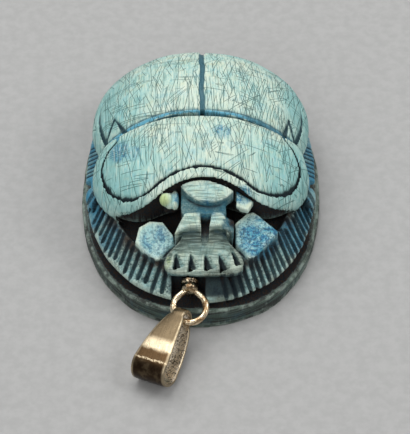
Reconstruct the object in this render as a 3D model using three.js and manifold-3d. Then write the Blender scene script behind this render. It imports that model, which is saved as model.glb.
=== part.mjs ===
// A scarab amulet carved from one piece of stone, lying on its flat underside, with a metal eye ring
// pegged into its front and a tapered strap bail hanging from the ring.
// Millimetres, +Z up. The head points to -Y, and the origin is the centre of the flat underside.
import * as THREE from "three";
import { mergeVertices } from "three/addons/utils/BufferGeometryUtils.js";
import Module from "manifold-3d";

const wasm = await Module();
wasm.setup();

// ---- driving dimensions ----

// Every oval is a superellipse, and its roundness is the exponent: 2 is an ellipse, more is squarer.
const BASE = {
  halfWidth: 12.5,
  halfLength: 17.5,
  roundness: 2.2,
  sideHeight: 1.4, // the edge of the plate stands lower along the sides
  endRise: 1.25, // and this much higher at the two ends
  chamfer: 0.25,
};
const WAIST = { halfWidth: 10.9, halfLength: 15.6, top: 3.6 }; // the floor of the groove over the plate
const LEGS = {
  halfWidth: 12,
  halfLength: 17,
  under: 3.2,
  edge: 3.75,
  crest: 5.45,
  crestShare: 0.83, // the crest of the leg band, as a share of its outer oval
  floor: 4.2, // the level between the legs and the head
};
const WING_CASES = {
  halfWidth: 11.46,
  halfLength: 10.1,
  centre: 4.7,
  rim: 5.6,
  rise: 6.95,
  fullness: 1.7,
  roundness: 2.08,
};
const THORAX = {
  halfWidth: 11.6,
  halfLength: 10,
  centre: -1.2,
  rim: 5.6,
  rise: 6.35,
  fullness: 1.8,
  roundness: 2.1,
};
// Right half of the thorax shield in plan, from the middle of its front edge round to the wing cases.
const SHIELD_EDGE = [
  [0, -6.55],
  [1.9, -6.8],
  [3.5, -7.35],
  [5, -8.1],
  [6.4, -8.35],
  [7.7, -8.15],
  [9, -7.5],
  [10.1, -6.4],
  [10.8, -5.1],
  [11.12, -3.5],
  [10.9, -2.2],
  [10.3, -0.9],
  [9.5, 0],
];
const SHIELD_LEAN = 0.07; // the carver's front edge lies a little further forward on the left
const SHIELD_BACK = { middle: 1.25, sides: 0.05, reach: 9.5 };
const SHIELD_RIM = 1; // width of the band outside the line carved round the shield
const SHIELD_FOOT = { level: 5.3, inset: 1.1 }; // below this level the shield's wall steps back
const LINE = { fine: 0.24, bold: 0.32, sides: 5 }; // radii of the carved lines
const SUTURE = { x: 0.13, length: 13.3 };
const RIM_LINE = { share: 0.925, from: -22, to: 202 }; // share of the wing cases' oval, and degrees round it
const SHOULDER = { apex: [9, 2.9], inner: [8, 0.75], outer: [9.8, 0.7] }; // the carved triangle's corners

const HEAD = {
  centre: 0.3,
  back: -6,
  neck: [2.5, -9.4], // half width and place along the head, as for the two after it
  brow: [2.3, -9.8],
  temple: [2.85, -11.2],
  flare: [4.35, -13.5],
  bluntness: 0.7, // below 1 the toothed front is squarer than an ellipse
  front: -15.7,
};
// Side profile of the head as [y, z], from the neck down over the face and back below.
const HEAD_PROFILE = [
  [-6, 9.95],
  [-9.3, 8.5],
  [-9.7, 8.5],
  [-9.8, 8.8],
  [-11.2, 8.05],
  [-11.75, 7.3],
  [-14.3, 6.35],
  [-15.35, 5.9],
  [-15.7, 5.5],
  [-15.35, 5.1],
  [-14.3, 4.9],
  [-13.5, 3],
  [-6, 3],
];
const CROWN = { x: 0.6, halfWidth: 2.5, back: -6.9, front: -9.25, corner: -7.4, top: 10.1, slope: 0.42 };
const TEETH = {
  notches: 5,
  pitch: 1.5,
  fan: 0.36, // how far each notch leans out from the one beside it
  halfWidth: 0.5,
  depth: 0.55,
  start: [-13.9, 6.85], // place along the head and level
  end: [-16.3, 5.55],
  curve: 0.22, // the outer notches stop further back
};
const FACE_SLOT = { halfWidth: 0.45, back: -10, front: -12.6, floor: 7 };
const EYES = [
  { x: -3.35, y: -8.35, z: 8.85, radius: 0.68 },
  { x: 4.35, y: -8.5, z: 8.7, radius: 0.85 },
];
// Blocks behind the eyes that join them to the crown, each by two opposite corners.
const SOCKETS = [
  [
    [-3, -9, 7],
    [-1.6, -6.5, 9.3],
  ],
  [
    [-4, -9.1, 7],
    [-2.4, -6.5, 8.9],
  ],
  [
    [3, -9.1, 7],
    [4.9, -6.5, 9.1],
  ],
];
// Plan outlines of the two cheek plates, which the carver made unlike.
const CHEEKS = [
  [
    [-2.6, -9.6],
    [-3.8, -9.2],
    [-5.2, -9.1],
    [-6.2, -9.8],
    [-6.6, -11.4],
    [-5.8, -12.5],
    [-4.5, -13.4],
    [-2.6, -13],
  ],
  [
    [3.4, -9.4],
    [4.6, -8.2],
    [5.3, -8],
    [7.8, -10.3],
    [5.4, -13.1],
    [4.4, -13.5],
    [3.4, -13],
  ],
];
const CHEEK_TOP = { level: 6.8, at: -9.3, slope: 0.22, foot: 4 };

const FRONT_RIBS = {
  count: 14,
  from: 3.6, // distance from the middle line to the first and the last
  to: 11.55,
  crowding: 0.9,
  halfWidth: 0.5,
  depth: 0.42,
  inward: 2.7, // reach from the legs' edge
  outward: 0.4,
  splay: 12, // degrees, and degrees more for each millimetre from the middle
  turn: 1.6,
};
const SIDE_RIBS = {
  groups: [
    { from: -0.4, pitch: 0.58, count: 8 },
    { from: 8.2, pitch: 0.75, count: 9 },
  ],
  halfWidth: 0.3,
  depth: 0.3,
  inward: 1.6,
  outward: 0.3,
};
const LEG_GAPS = {
  spans: [
    [-3.1, -1],
    [5.3, 6.6],
  ],
  depth: 0.55,
};
const KNEE = { at: [11.2, -4.3, 4.8], size: [0.75, 1.15, 0.8] };

const RECESS = { left: -2.95, right: 0.5, back: -14.4, front: -19, floor: 2.6, top: 4.95 };
// A block left standing in the groove beside the recess.
const BRIDGE = { left: 0.7, right: 2.5, front: -16.5, back: -14, foot: 1.5, top: 3.6 };
const PEG = { x: -1.13, z: 4.35, radius: 0.45, hole: 0.8, tip: -12.6, holeEnd: -12.2 };
const COLLAR = { radius: 0.78, frontRadius: 0.7, back: -15.3, front: -16.1 };
const RING = { x: -1.13, y: -17.85, z: 3.7, radius: 1.62, wire: 0.33, tilt: 19 };

const BAIL = {
  ringAngle: 235, // where on the ring it hangs, in degrees
  far: [-4.5, -24, 1.97], // centre of its wide end
  roll: 12,
  nearRadius: 0.8, // inside radii of the loop at its two ends
  farRadius: 1.22,
  bulge: 0.22,
  strap: 0.38,
  nearWidth: 1.4,
  farWidth: 3.8,
  taper: 0.6, // how early along the loop the strap widens
};

// ---- helpers ----

const DEGREE = Math.PI / 180;
const at = (x, y, z) => new THREE.Vector3(x, y, z);
const SMALLEST = 0.004; // edges shorter than this are merged away once the stone is carved
const power = (value, exponent) => Math.abs(value) ** exponent;

/** A closed manifold-3d solid from a three.js geometry, with its faces turned outwards. */
function solid(geometry) {
  const bare = geometry.clone();
  bare.deleteAttribute("normal");
  bare.deleteAttribute("uv");
  const merged = mergeVertices(bare, 1e-4);
  const index = merged.index.array;
  const corners = [];
  for (let i = 0; i < index.length; i += 3) {
    const [a, b, c] = index.slice(i, i + 3);
    if (a !== b && b !== c && c !== a) corners.push(a, b, c);
  }
  const build = (triVerts) =>
    new wasm.Manifold(
      new wasm.Mesh({
        numProp: 3,
        vertProperties: new Float32Array(merged.attributes.position.array),
        triVerts: new Uint32Array(triVerts),
      }),
    );
  const made = build(corners);
  return made.volume() < 0 ? build(corners.reverse()) : made;
}

/** The geometry of a finished solid, flat shaded. */
function geometryOf(made) {
  const mesh = made.getMesh();
  const geometry = new THREE.BufferGeometry();
  geometry.setAttribute("position", new THREE.BufferAttribute(mesh.vertProperties, 3));
  geometry.setIndex(new THREE.BufferAttribute(mesh.triVerts, 1));
  const flat = geometry.toNonIndexed();
  flat.computeVertexNormals();
  return flat;
}

/** Moves every vertex of a geometry by a function that changes the point it is given. */
function reshape(geometry, change) {
  const position = geometry.getAttribute("position");
  const point = at(0, 0, 0);
  for (let i = 0; i < position.count; i++) {
    change(point.fromBufferAttribute(position, i));
    position.setXYZ(i, point.x, point.y, point.z);
  }
  return geometry;
}

/** How far out a plan point lies in an oval: 0 at its centre and 1 on its outline. */
function shareOf(oval, x, y) {
  const { halfWidth, halfLength, centre = 0, roundness = BASE.roundness } = oval;
  const sum = power(x / halfWidth, roundness) + power((y - centre) / halfLength, roundness);
  return sum ** (1 / roundness);
}

/** A point on an oval's outline in the direction of an angle. */
function ovalPoint(oval, angle, share = 1) {
  const x = Math.cos(angle);
  const y = Math.sin(angle);
  const scale = share / shareOf({ ...oval, centre: 0 }, x, y);
  return [x * scale, y * scale + (oval.centre ?? 0)];
}

/** A solid with oval level curves, from rows of [share of the oval, height]. */
function ovalSolid(oval, rows, segments = 52) {
  const profile = rows.map(([share, z]) => new THREE.Vector2(share, z));
  const turned = new THREE.LatheGeometry(profile, segments).rotateX(Math.PI / 2);
  return reshape(turned, (p) => {
    const share = Math.hypot(p.x, p.y);
    if (share < 1e-6) {
      p.set(0, oval.centre ?? 0, p.z);
      return;
    }
    const [x, y] = ovalPoint(oval, Math.atan2(p.y, p.x), share);
    p.set(x, y, p.z);
  });
}

/** Height of a domed back at a plan point. */
function domeHeight(dome, x, y) {
  const share = Math.min(1, shareOf(dome, x, y));
  return dome.rim + dome.rise * (1 - share ** dome.fullness) ** (1 / dome.fullness);
}

/** An upright prism over a plan outline of [x, y] points. */
function prism(outline, bottom, top) {
  const shape = new THREE.Shape(outline.map(([x, y]) => new THREE.Vector2(x, y)));
  const made = new THREE.ExtrudeGeometry(shape, { depth: top - bottom, bevelEnabled: false });
  return made.translate(0, 0, bottom);
}

/** A slab that runs along X with a [y, z] section. */
function slab(section, halfLength, x = 0) {
  const shape = new THREE.Shape(section.map(([y, z]) => new THREE.Vector2(y, z)));
  const made = new THREE.ExtrudeGeometry(shape, { depth: 2 * halfLength, bevelEnabled: false });
  return reshape(made, (p) => p.set(x + p.z - halfLength, p.x, p.y));
}

/** A box between two opposite corners. */
function block(low, high) {
  const size = high.map((value, i) => value - low[i]);
  const middle = high.map((value, i) => (value + low[i]) / 2);
  return new THREE.BoxGeometry(...size).translate(...middle);
}

/** A round bar along a smooth curve through points. */
function bar(points, radius, steps) {
  const corners = [];
  for (let i = 0; i < LINE.sides; i++) {
    const angle = (i / LINE.sides) * 2 * Math.PI;
    corners.push(new THREE.Vector2(radius * Math.cos(angle), radius * Math.sin(angle)));
  }
  const extrudePath = new THREE.CatmullRomCurve3(points);
  return new THREE.ExtrudeGeometry(new THREE.Shape(corners), { steps, extrudePath });
}

/** A straight three-sided cutter whose edge points down, from one point to another. */
function notch(from, to, halfWidth, depth) {
  const along = to.clone().sub(from);
  const length = along.length();
  along.normalize();
  const side = at(0, 0, 1).cross(along).normalize();
  const up = along.clone().cross(side);
  const shape = new THREE.Shape([
    new THREE.Vector2(0, -depth),
    new THREE.Vector2(halfWidth, depth),
    new THREE.Vector2(-halfWidth, depth),
  ]);
  const made = new THREE.ExtrudeGeometry(shape, { depth: length, bevelEnabled: false });
  made.applyMatrix4(new THREE.Matrix4().makeBasis(side, up, along));
  return made.translate(from.x, from.y, from.z);
}

/** Geometries of the right side, together with their mirror images on the left. */
function bothSides(geometries) {
  return [...geometries, ...geometries.map((one) => one.clone().scale(-1, 1, 1))];
}

/** All the geometries joined into one solid. */
function join(geometries) {
  return geometries.map(solid).reduce((whole, piece) => whole.add(piece));
}

// ---- the stone ----

/** Level of the plate's upper edge at a distance along the amulet. */
function plateEdge(y) {
  return BASE.sideHeight + BASE.endRise * power(y / BASE.halfLength, 5);
}

/** The oval plate under the beetle. */
function basePlate() {
  const lift = 10; // marks the upper rows until they get their level
  const inset = 1 - BASE.chamfer / BASE.halfWidth;
  const rows = [
    [0, 0],
    [inset, 0],
    [1, BASE.chamfer],
    [1, lift - BASE.chamfer],
    [inset, lift],
    [0.8, lift + 0.2],
    [0, lift + 0.2],
  ];
  const made = ovalSolid(BASE, rows, 60);
  return solid(reshape(made, (p) => (p.z = p.z > 5 ? p.z - lift + plateEdge(p.y) : p.z)));
}

/** The belly: the waist over the plate and the band that the legs are carved on. */
function belly() {
  const waist = ovalSolid(WAIST, [
    [0, 1],
    [1, 1],
    [1, WAIST.top],
    [0, WAIST.top],
  ]);
  const { under, edge, crest, crestShare, floor } = LEGS;
  const band = ovalSolid(LEGS, [
    [0, under],
    [0.92, under],
    [1, edge - 0.3],
    [1, edge],
    [crestShare, crest],
    [crestShare - 0.02, crest - 0.05],
    [crestShare - 0.04, floor],
    [0, floor],
  ]);
  return join([waist, band]).subtract(join(legGaps()));
}

/** A domed back with a small step in below its rim. */
function dome(form) {
  const rows = [
    [0, LEGS.under],
    [0.94, LEGS.under],
    [0.95, form.rim - 0.4],
    [1, form.rim],
  ];
  for (const share of [0.98, 0.93, 0.85, 0.74, 0.6, 0.45, 0.28, 0]) {
    rows.push([share, form.rim + form.rise * (1 - share ** form.fullness) ** (1 / form.fullness)]);
  }
  return solid(ovalSolid(form, rows));
}

/** Where the shield meets the wing cases, at a distance from the middle. */
function shieldBack(x) {
  const { middle, sides, reach } = SHIELD_BACK;
  return middle + (sides - middle) * power(x / reach, 2);
}

/** The shield's front edge from left to right, moved in by a distance. */
function shieldFront(inset, count) {
  const right = SHIELD_EDGE.map(([x, y]) => at(x, y, 0));
  const left = SHIELD_EDGE.slice(1).map(([x, y]) => at(-x, y, 0));
  const edge = new THREE.CatmullRomCurve3([...left.reverse(), ...right]);
  return Array.from({ length: count + 1 }, (_, i) => {
    const point = edge.getPointAt(i / count);
    const along = edge.getTangentAt(i / count);
    const x = point.x - along.y * inset;
    const lean = SHIELD_LEAN * x * (1 - (x / 11.2) ** 2);
    return [x, point.y + along.x * inset + lean];
  });
}

/** Plan outline of the shield. */
function shieldOutline(inset, count = 40) {
  const front = shieldFront(inset, count);
  const back = [];
  for (let i = 1; i < 12; i++) {
    const x = (SHIELD_BACK.reach - inset) * (1 - i / 6);
    back.push([x, shieldBack(x)]);
  }
  return [...front, ...back];
}

/** The thorax shield: a dome cut to its bean-shaped outline. */
function shield() {
  const { level, inset } = SHIELD_FOOT;
  const upper = prism(shieldOutline(0), level, 14);
  const lower = prism(shieldOutline(inset), LEGS.under, level + 0.1);
  return dome(THORAX).intersect(solid(upper).add(solid(lower)));
}

/** The wing cases: the back dome, ending at the shield. */
function wingCases() {
  const reach = WING_CASES.halfWidth + 1;
  const outline = [
    [reach, 18],
    [-reach, 18],
  ];
  for (let i = 0; i <= 12; i++) {
    const x = -reach + (2 * reach * i) / 12;
    outline.push([x, Math.abs(x) > SHIELD_BACK.reach ? 0.3 : shieldBack(x)]);
  }
  return dome(WING_CASES).intersect(solid(prism(outline, 0, 20)));
}

/** Plan outline of the head, flaring to the toothed front. */
function headOutline() {
  const { centre, back, neck, brow, temple, flare, bluntness, front } = HEAD;
  const arc = [];
  for (let i = 0; i < 6; i++) {
    const angle = (i / 6) * 90 * DEGREE;
    arc.push([flare[0] * Math.cos(angle) ** bluntness, flare[1] + (front - flare[1]) * Math.sin(angle)]);
  }
  const right = [[neck[0], back], neck, brow, temple, ...arc];
  const left = right.map(([x, y]) => [-x, y]).reverse();
  return [...right, [0, front], ...left].map(([x, y]) => [x + centre, y]);
}

/** The sloping plate on top of the head: a lens in plan. */
function crown() {
  const { x, halfWidth, back, front, corner, top, slope } = CROWN;
  const lens = [];
  for (let i = 0; i < 16; i++) {
    const angle = (i / 16) * 2 * Math.PI;
    const reach = Math.sin(angle) > 0 ? back - corner : corner - front;
    lens.push([x + halfWidth * Math.cos(angle), corner + reach * Math.sin(angle)]);
  }
  return slopeTop(prism(lens, top - 2, top), slope, back);
}

/** A prism whose top slopes along the amulet, keeping its level at one place. */
function slopeTop(geometry, slope, level) {
  geometry.computeBoundingBox();
  const middle = (geometry.boundingBox.min.z + geometry.boundingBox.max.z) / 2;
  return reshape(geometry, (p) => {
    if (p.z > middle) p.z += slope * (p.y - level);
  });
}

/** The head with its crown plate, eyes and cheeks. */
function head() {
  const face = solid(slab(HEAD_PROFILE, 6)).intersect(solid(prism(headOutline(), 3, 12)));
  const eyes = EYES.map(({ x, y, z, radius }) =>
    new THREE.SphereGeometry(radius, 12, 8).rotateX(Math.PI / 2).translate(x, y, z),
  );
  const cheeks = CHEEKS.map((outline) =>
    slopeTop(prism(outline, CHEEK_TOP.foot, CHEEK_TOP.level), CHEEK_TOP.slope, CHEEK_TOP.at),
  );
  const sockets = SOCKETS.map(([low, high]) => block(low, high));
  const whole = face.add(join([crown(), ...eyes, ...sockets, ...cheeks]));
  return whole.subtract(join(faceCuts()));
}

/** The lines carved into the back: suture, shield lines, rim line and shoulder triangles. */
function carvedLines() {
  const onWings = (x, y) => at(x, y, domeHeight(WING_CASES, x, y));
  const onShield = (x, y) => at(x, y, domeHeight(THORAX, x, y));
  const suture = [];
  for (let i = 0; i <= 12; i++) {
    suture.push(onWings(SUTURE.x, SHIELD_BACK.middle + (i / 12) * SUTURE.length));
  }
  const junction = [];
  for (let i = 0; i <= 16; i++) {
    const x = (SHIELD_BACK.reach + 0.5) * (i / 8 - 1);
    junction.push(onWings(x, shieldBack(x)));
  }
  const bean = shieldFront(SHIELD_RIM, 40).map(([x, y]) => onShield(x, y));
  const rim = [];
  for (let i = 0; i <= 36; i++) {
    const angle = (RIM_LINE.from + ((RIM_LINE.to - RIM_LINE.from) * i) / 36) * DEGREE;
    rim.push(onWings(...ovalPoint(WING_CASES, angle, RIM_LINE.share)));
  }
  const shoulder = [SHOULDER.inner, SHOULDER.outer].map((corner) =>
    bar([onWings(...corner), onWings(...SHOULDER.apex)], LINE.fine, 2),
  );
  return [
    bar(suture, LINE.bold, 12),
    bar(junction, LINE.bold, 22),
    bar(bean, LINE.bold, 42),
    bar(rim, LINE.fine, 34),
    ...bothSides(shoulder),
  ];
}

/** Height of the sloping leg band at a plan point. */
function legHeight(x, y) {
  const { edge, crest, crestShare } = LEGS;
  return edge + ((crest - edge) * (1 - shareOf(LEGS, x, y))) / (1 - crestShare);
}

/** A rib's cutter, lying on the slope of the legs, from a plan point on their edge. */
function ribCutter(edge, inward, size) {
  const inner = edge.map((value, i) => value + inward[i] * size.inward);
  const outer = edge.map((value, i) => value - inward[i] * size.outward);
  const from = at(...inner, legHeight(...inner));
  const to = at(...outer, legHeight(...outer));
  return notch(from, to, size.halfWidth, size.depth);
}

/** The ribs cut across the front legs. */
function frontRibs() {
  const { count, from, to, crowding, splay, turn } = FRONT_RIBS;
  const start = Math.acos(from / LEGS.halfWidth);
  const end = Math.acos(to / LEGS.halfWidth);
  return Array.from({ length: count }, (_, i) => {
    const bend = start + (end - start) * (i / (count - 1)) ** crowding;
    const x = LEGS.halfWidth * Math.cos(bend) ** (2 / BASE.roundness);
    const y = -LEGS.halfLength * Math.sin(bend) ** (2 / BASE.roundness);
    const angle = (splay + turn * x) * DEGREE;
    return ribCutter([x, y], [-Math.sin(angle), Math.cos(angle)], FRONT_RIBS);
  });
}

/** The finer ribs on the middle and hind legs. */
function sideRibs() {
  const cuts = [];
  for (const { from, pitch, count } of SIDE_RIBS.groups) {
    for (let i = 0; i < count; i++) {
      const y = from + i * pitch;
      const x = LEGS.halfWidth * (1 - power(y / LEGS.halfLength, BASE.roundness)) ** (1 / BASE.roundness);
      const normal = Math.atan2(y / LEGS.halfLength ** 2, x / LEGS.halfWidth ** 2);
      cuts.push(ribCutter([x, y], [-Math.cos(normal), -Math.sin(normal)], SIDE_RIBS));
    }
  }
  return cuts;
}

/** The hollows between one leg and the next, along both sides. */
function legGaps() {
  const inner = LEGS.halfWidth - LEG_GAPS.depth;
  const outer = LEGS.halfWidth + 1;
  return bothSides(
    LEG_GAPS.spans.map(([from, to]) =>
      block([inner, from, LEGS.under - 0.1], [outer, to, LEGS.crest]),
    ),
  );
}

/** The notches between the teeth and the slot down the face. */
function faceCuts() {
  const { notches, pitch, fan, halfWidth, depth, start, end, curve } = TEETH;
  const cuts = [];
  for (let i = 0; i < notches; i++) {
    const step = i - (notches - 1) / 2;
    const from = at(HEAD.centre + step * pitch, ...start);
    const to = at(HEAD.centre + step * (pitch + fan), end[0] + curve * step ** 2, end[1]);
    cuts.push(notch(from, to, halfWidth, depth));
  }
  const slot = FACE_SLOT;
  const low = [HEAD.centre - slot.halfWidth, slot.front, slot.floor];
  cuts.push(block(low, [HEAD.centre + slot.halfWidth, slot.back, CROWN.top]));
  return cuts;
}

/** The recess under the head that the ring's collar sits in, with the hole for its peg. */
function ringSeat() {
  const { left, right, back, front, floor, top } = RECESS;
  const hole = new THREE.CylinderGeometry(PEG.hole, PEG.hole, PEG.holeEnd - back + 1, 16);
  hole.translate(PEG.x, (PEG.holeEnd + back - 1) / 2, PEG.z);
  return [block([left, front, floor], [right, back, top]), hole];
}

/** The whole carved stone. */
function scarab() {
  const knee = new THREE.SphereGeometry(1, 12, 8).rotateX(Math.PI / 2).scale(...KNEE.size);
  knee.translate(...KNEE.at);
  const { left, right, front, back, foot, top } = BRIDGE;
  const bridge = block([left, front, foot], [right, back, top]);
  const beetle = belly()
    .subtract(join(bothSides([...frontRibs(), ...sideRibs()])))
    .add(wingCases())
    .add(shield())
    .add(head())
    .add(join([bridge, ...bothSides([knee])]))
    .subtract(join(carvedLines()));
  return basePlate().add(beetle).subtract(join(ringSeat())).simplify(SMALLEST);
}

// ---- the metal ----

const RING_DOWN = at(0, -Math.cos(RING.tilt * DEGREE), -Math.sin(RING.tilt * DEGREE));

/** The ring with its collar and peg. */
function eyeRing() {
  const across = at(1, 0, 0);
  const basis = new THREE.Matrix4().makeBasis(across, RING_DOWN, across.clone().cross(RING_DOWN));
  const ring = new THREE.TorusGeometry(RING.radius, RING.wire, 8, 24).applyMatrix4(basis);
  ring.translate(RING.x, RING.y, RING.z);
  const { radius, frontRadius, back, front } = COLLAR;
  const collar = new THREE.CylinderGeometry(radius, frontRadius, back - front, 16);
  collar.translate(PEG.x, (back + front) / 2, PEG.z);
  const peg = new THREE.CylinderGeometry(PEG.radius, PEG.radius, PEG.tip - back + 0.2, 12);
  peg.translate(PEG.x, (PEG.tip + back - 0.2) / 2, PEG.z);
  return join([ring, collar, peg]);
}

/** Half the inside thickness of the bail's loop along its length, from 0 to 1. */
function loopHalf(share) {
  const { nearRadius, farRadius, bulge } = BAIL;
  return nearRadius + (farRadius - nearRadius) * share + bulge * Math.sin(Math.PI * share);
}

/** Closed outline of the bail's loop, grown by a distance. */
function loopOutline(length, grow) {
  const points = [];
  const turn = (centre, radius, from) => {
    for (let i = 0; i <= 8; i++) {
      const angle = (from + (180 * i) / 8) * DEGREE;
      points.push([centre + radius * Math.cos(angle), radius * Math.sin(angle)]);
    }
  };
  turn(length, BAIL.farRadius + grow, -90);
  for (let i = 1; i < 10; i++) points.push([length * (1 - i / 10), loopHalf(1 - i / 10) + grow]);
  turn(0, BAIL.nearRadius + grow, 90);
  for (let i = 1; i < 10; i++) points.push([length * (i / 10), -loopHalf(i / 10) - grow]);
  return points.map(([x, y]) => new THREE.Vector2(x, y));
}

/** The bail: a strap folded into a long loop, wider towards its far end. */
function bail() {
  const angle = BAIL.ringAngle * DEGREE;
  const near = at(RING.x, RING.y, RING.z);
  near.addScaledVector(at(1, 0, 0), RING.radius * Math.cos(angle));
  near.addScaledVector(RING_DOWN, -RING.radius * Math.sin(angle));
  const along = at(...BAIL.far).sub(near);
  const length = along.length();
  along.normalize();
  const level = along.clone().cross(at(0, 0, 1)).negate().normalize();
  level.applyAxisAngle(along, BAIL.roll * DEGREE);
  const up = along.clone().cross(level);
  const shape = new THREE.Shape(loopOutline(length, BAIL.strap));
  shape.holes.push(new THREE.Path(loopOutline(length, 0)));
  const loop = new THREE.ExtrudeGeometry(shape, { depth: 1, bevelEnabled: false });
  reshape(loop, (p) => {
    const share = Math.min(1, Math.max(0, p.x / length));
    p.z = (p.z - 0.5) * (BAIL.nearWidth + (BAIL.farWidth - BAIL.nearWidth) * share ** BAIL.taper);
  });
  loop.applyMatrix4(new THREE.Matrix4().makeBasis(along, up, level));
  return solid(loop.translate(near.x, near.y, near.z));
}

// ---- the amulet ----

const stone = new THREE.MeshStandardMaterial({ color: 0x9fc4b4, roughness: 0.6, metalness: 0 });
const eyeMetal = new THREE.MeshStandardMaterial({ color: 0xc9a566, roughness: 0.3, metalness: 1 });
const bailMetal = new THREE.MeshStandardMaterial({ color: 0x9a8259, roughness: 0.4, metalness: 1 });

const amulet = new THREE.Group();
for (const [name, made, material] of [
  ["scarab", scarab(), stone],
  ["eye_ring", eyeRing(), eyeMetal],
  ["bail", bail(), bailMetal],
]) {
  const mesh = new THREE.Mesh(geometryOf(made), material);
  mesh.name = name;
  amulet.add(mesh);
}

export default amulet;
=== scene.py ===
"""Looks of the scarab amulet: glazed steatite beetle, gilt brass eye ring and tarnished brass bail."""

import logging
import math
from dataclasses import dataclass, field
from enum import Enum
from typing import Any, Sequence

import bpy
import numpy as np
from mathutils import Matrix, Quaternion, Vector


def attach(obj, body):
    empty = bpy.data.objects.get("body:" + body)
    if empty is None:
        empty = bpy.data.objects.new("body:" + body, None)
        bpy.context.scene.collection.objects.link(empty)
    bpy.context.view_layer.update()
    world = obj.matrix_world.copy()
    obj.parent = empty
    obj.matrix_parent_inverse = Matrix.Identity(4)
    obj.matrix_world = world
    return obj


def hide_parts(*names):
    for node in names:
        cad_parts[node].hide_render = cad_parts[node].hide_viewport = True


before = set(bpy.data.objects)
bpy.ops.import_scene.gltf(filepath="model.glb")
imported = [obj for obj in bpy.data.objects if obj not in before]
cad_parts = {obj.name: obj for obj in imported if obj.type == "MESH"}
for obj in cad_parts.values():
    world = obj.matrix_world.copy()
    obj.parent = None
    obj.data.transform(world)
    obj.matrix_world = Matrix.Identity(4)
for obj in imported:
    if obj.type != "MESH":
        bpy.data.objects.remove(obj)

log = logging.getLogger("scarab_amulet")

MM = 0.001
SEED = 1907
FAR = 1e6  # mm, further than anything here
LEAST_SLOPE = 0.02  # an oval's share that changes less for each mm counts as this
Pair = tuple[float, float]
Place = tuple[float, float, float]
Box = tuple[Place, Place]
Plan = Sequence[Pair]
Field = np.ndarray
Maps = dict[str, Field]
Object = bpy.types.Object
Socket = bpy.types.NodeSocket
Material = bpy.types.Material


class Side(Enum):
    """A side of the beetle as seen from above, by the sign of x."""

    RIGHT = 1
    LEFT = -1


# ---- numbers ----


def linear(colour: str) -> tuple[float, float, float, float]:
    """Turns an sRGB hex colour into linear RGBA.

    Args:
        colour: Six hex digits, with or without a leading #.

    Returns:
        Linear red, green, blue and an alpha of 1.
    """
    digits = colour.lstrip("#")
    shares = [int(digits[i : i + 2], 16) / 255 for i in (0, 2, 4)]
    red, green, blue = (c / 12.92 if c <= 0.04045 else ((c + 0.055) / 1.055) ** 2.4 for c in shares)
    return red, green, blue, 1.0


def ramp(values: Field, start: Any, end: Any) -> Field:
    """Runs smoothly from 0 at start to 1 at end.

    Args:
        values: Numbers of any shape.
        start: Value that gives 0, or one for each number.
        end: Value that gives 1, or one for each number.

    Returns:
        Shares from 0 to 1, of the same shape.
    """
    share = np.clip((values - start) / (end - start), 0, 1)
    return share * share * (3 - 2 * share)


def fall(values: Field, start: Any, end: Any) -> Field:
    """Runs smoothly from 1 at start to 0 at end; see ramp."""
    return 1 - ramp(values, start, end)


def stroke(away: Field, half: Any, fade: Pair) -> Field:
    """A drawn line with soft edges.

    Args:
        away: Distance from the line's middle, in mm.
        half: Half the line's width, in mm.
        fade: Where it starts and ends fading, as shares of that half.

    Returns:
        Shares from 0 to 1.
    """
    return fall(away, half * fade[0], half * fade[1])


def smooth_max(first: Field, second: Field, blend: float) -> Field:
    """The larger of two fields, with the edge between them rounded.

    Args:
        first: One field.
        second: Another of a shape that fits it.
        blend: How far the rounding reaches, in mm.

    Returns:
        The joined field.
    """
    near = np.maximum(blend - np.abs(first - second), 0)
    return np.maximum(first, second) + near * near * (0.25 / blend)


def smooth_min(first: Field, second: Field, blend: float) -> Field:
    """The smaller of two fields, with the edge between them rounded; see smooth_max."""
    return -smooth_max(-first, -second, blend)


def smooth_curve(points: Plan, steps: int) -> list[Pair]:
    """Points along a Catmull-Rom curve through the given ones.

    Args:
        points: The points it goes through.
        steps: How many points each span gets.

    Returns:
        The finer points, ends included.
    """
    knots = np.array([points[0], *points, points[-1]], float)
    made: list[Pair] = []
    for i in range(1, len(knots) - 2):
        a, b, c, d = knots[i - 1 : i + 3]
        for t in np.linspace(0, 1, steps, endpoint=False):
            curve = 2 * b + (c - a) * t + (2 * a - 5 * b + 4 * c - d) * t**2
            curve += (3 * b - a - 3 * c + d) * t**3
            made.append((float(curve[0]) / 2, float(curve[1]) / 2))
    made.append((float(knots[-1][0]), float(knots[-1][1])))
    return made


# ---- the block of stone ----


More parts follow.
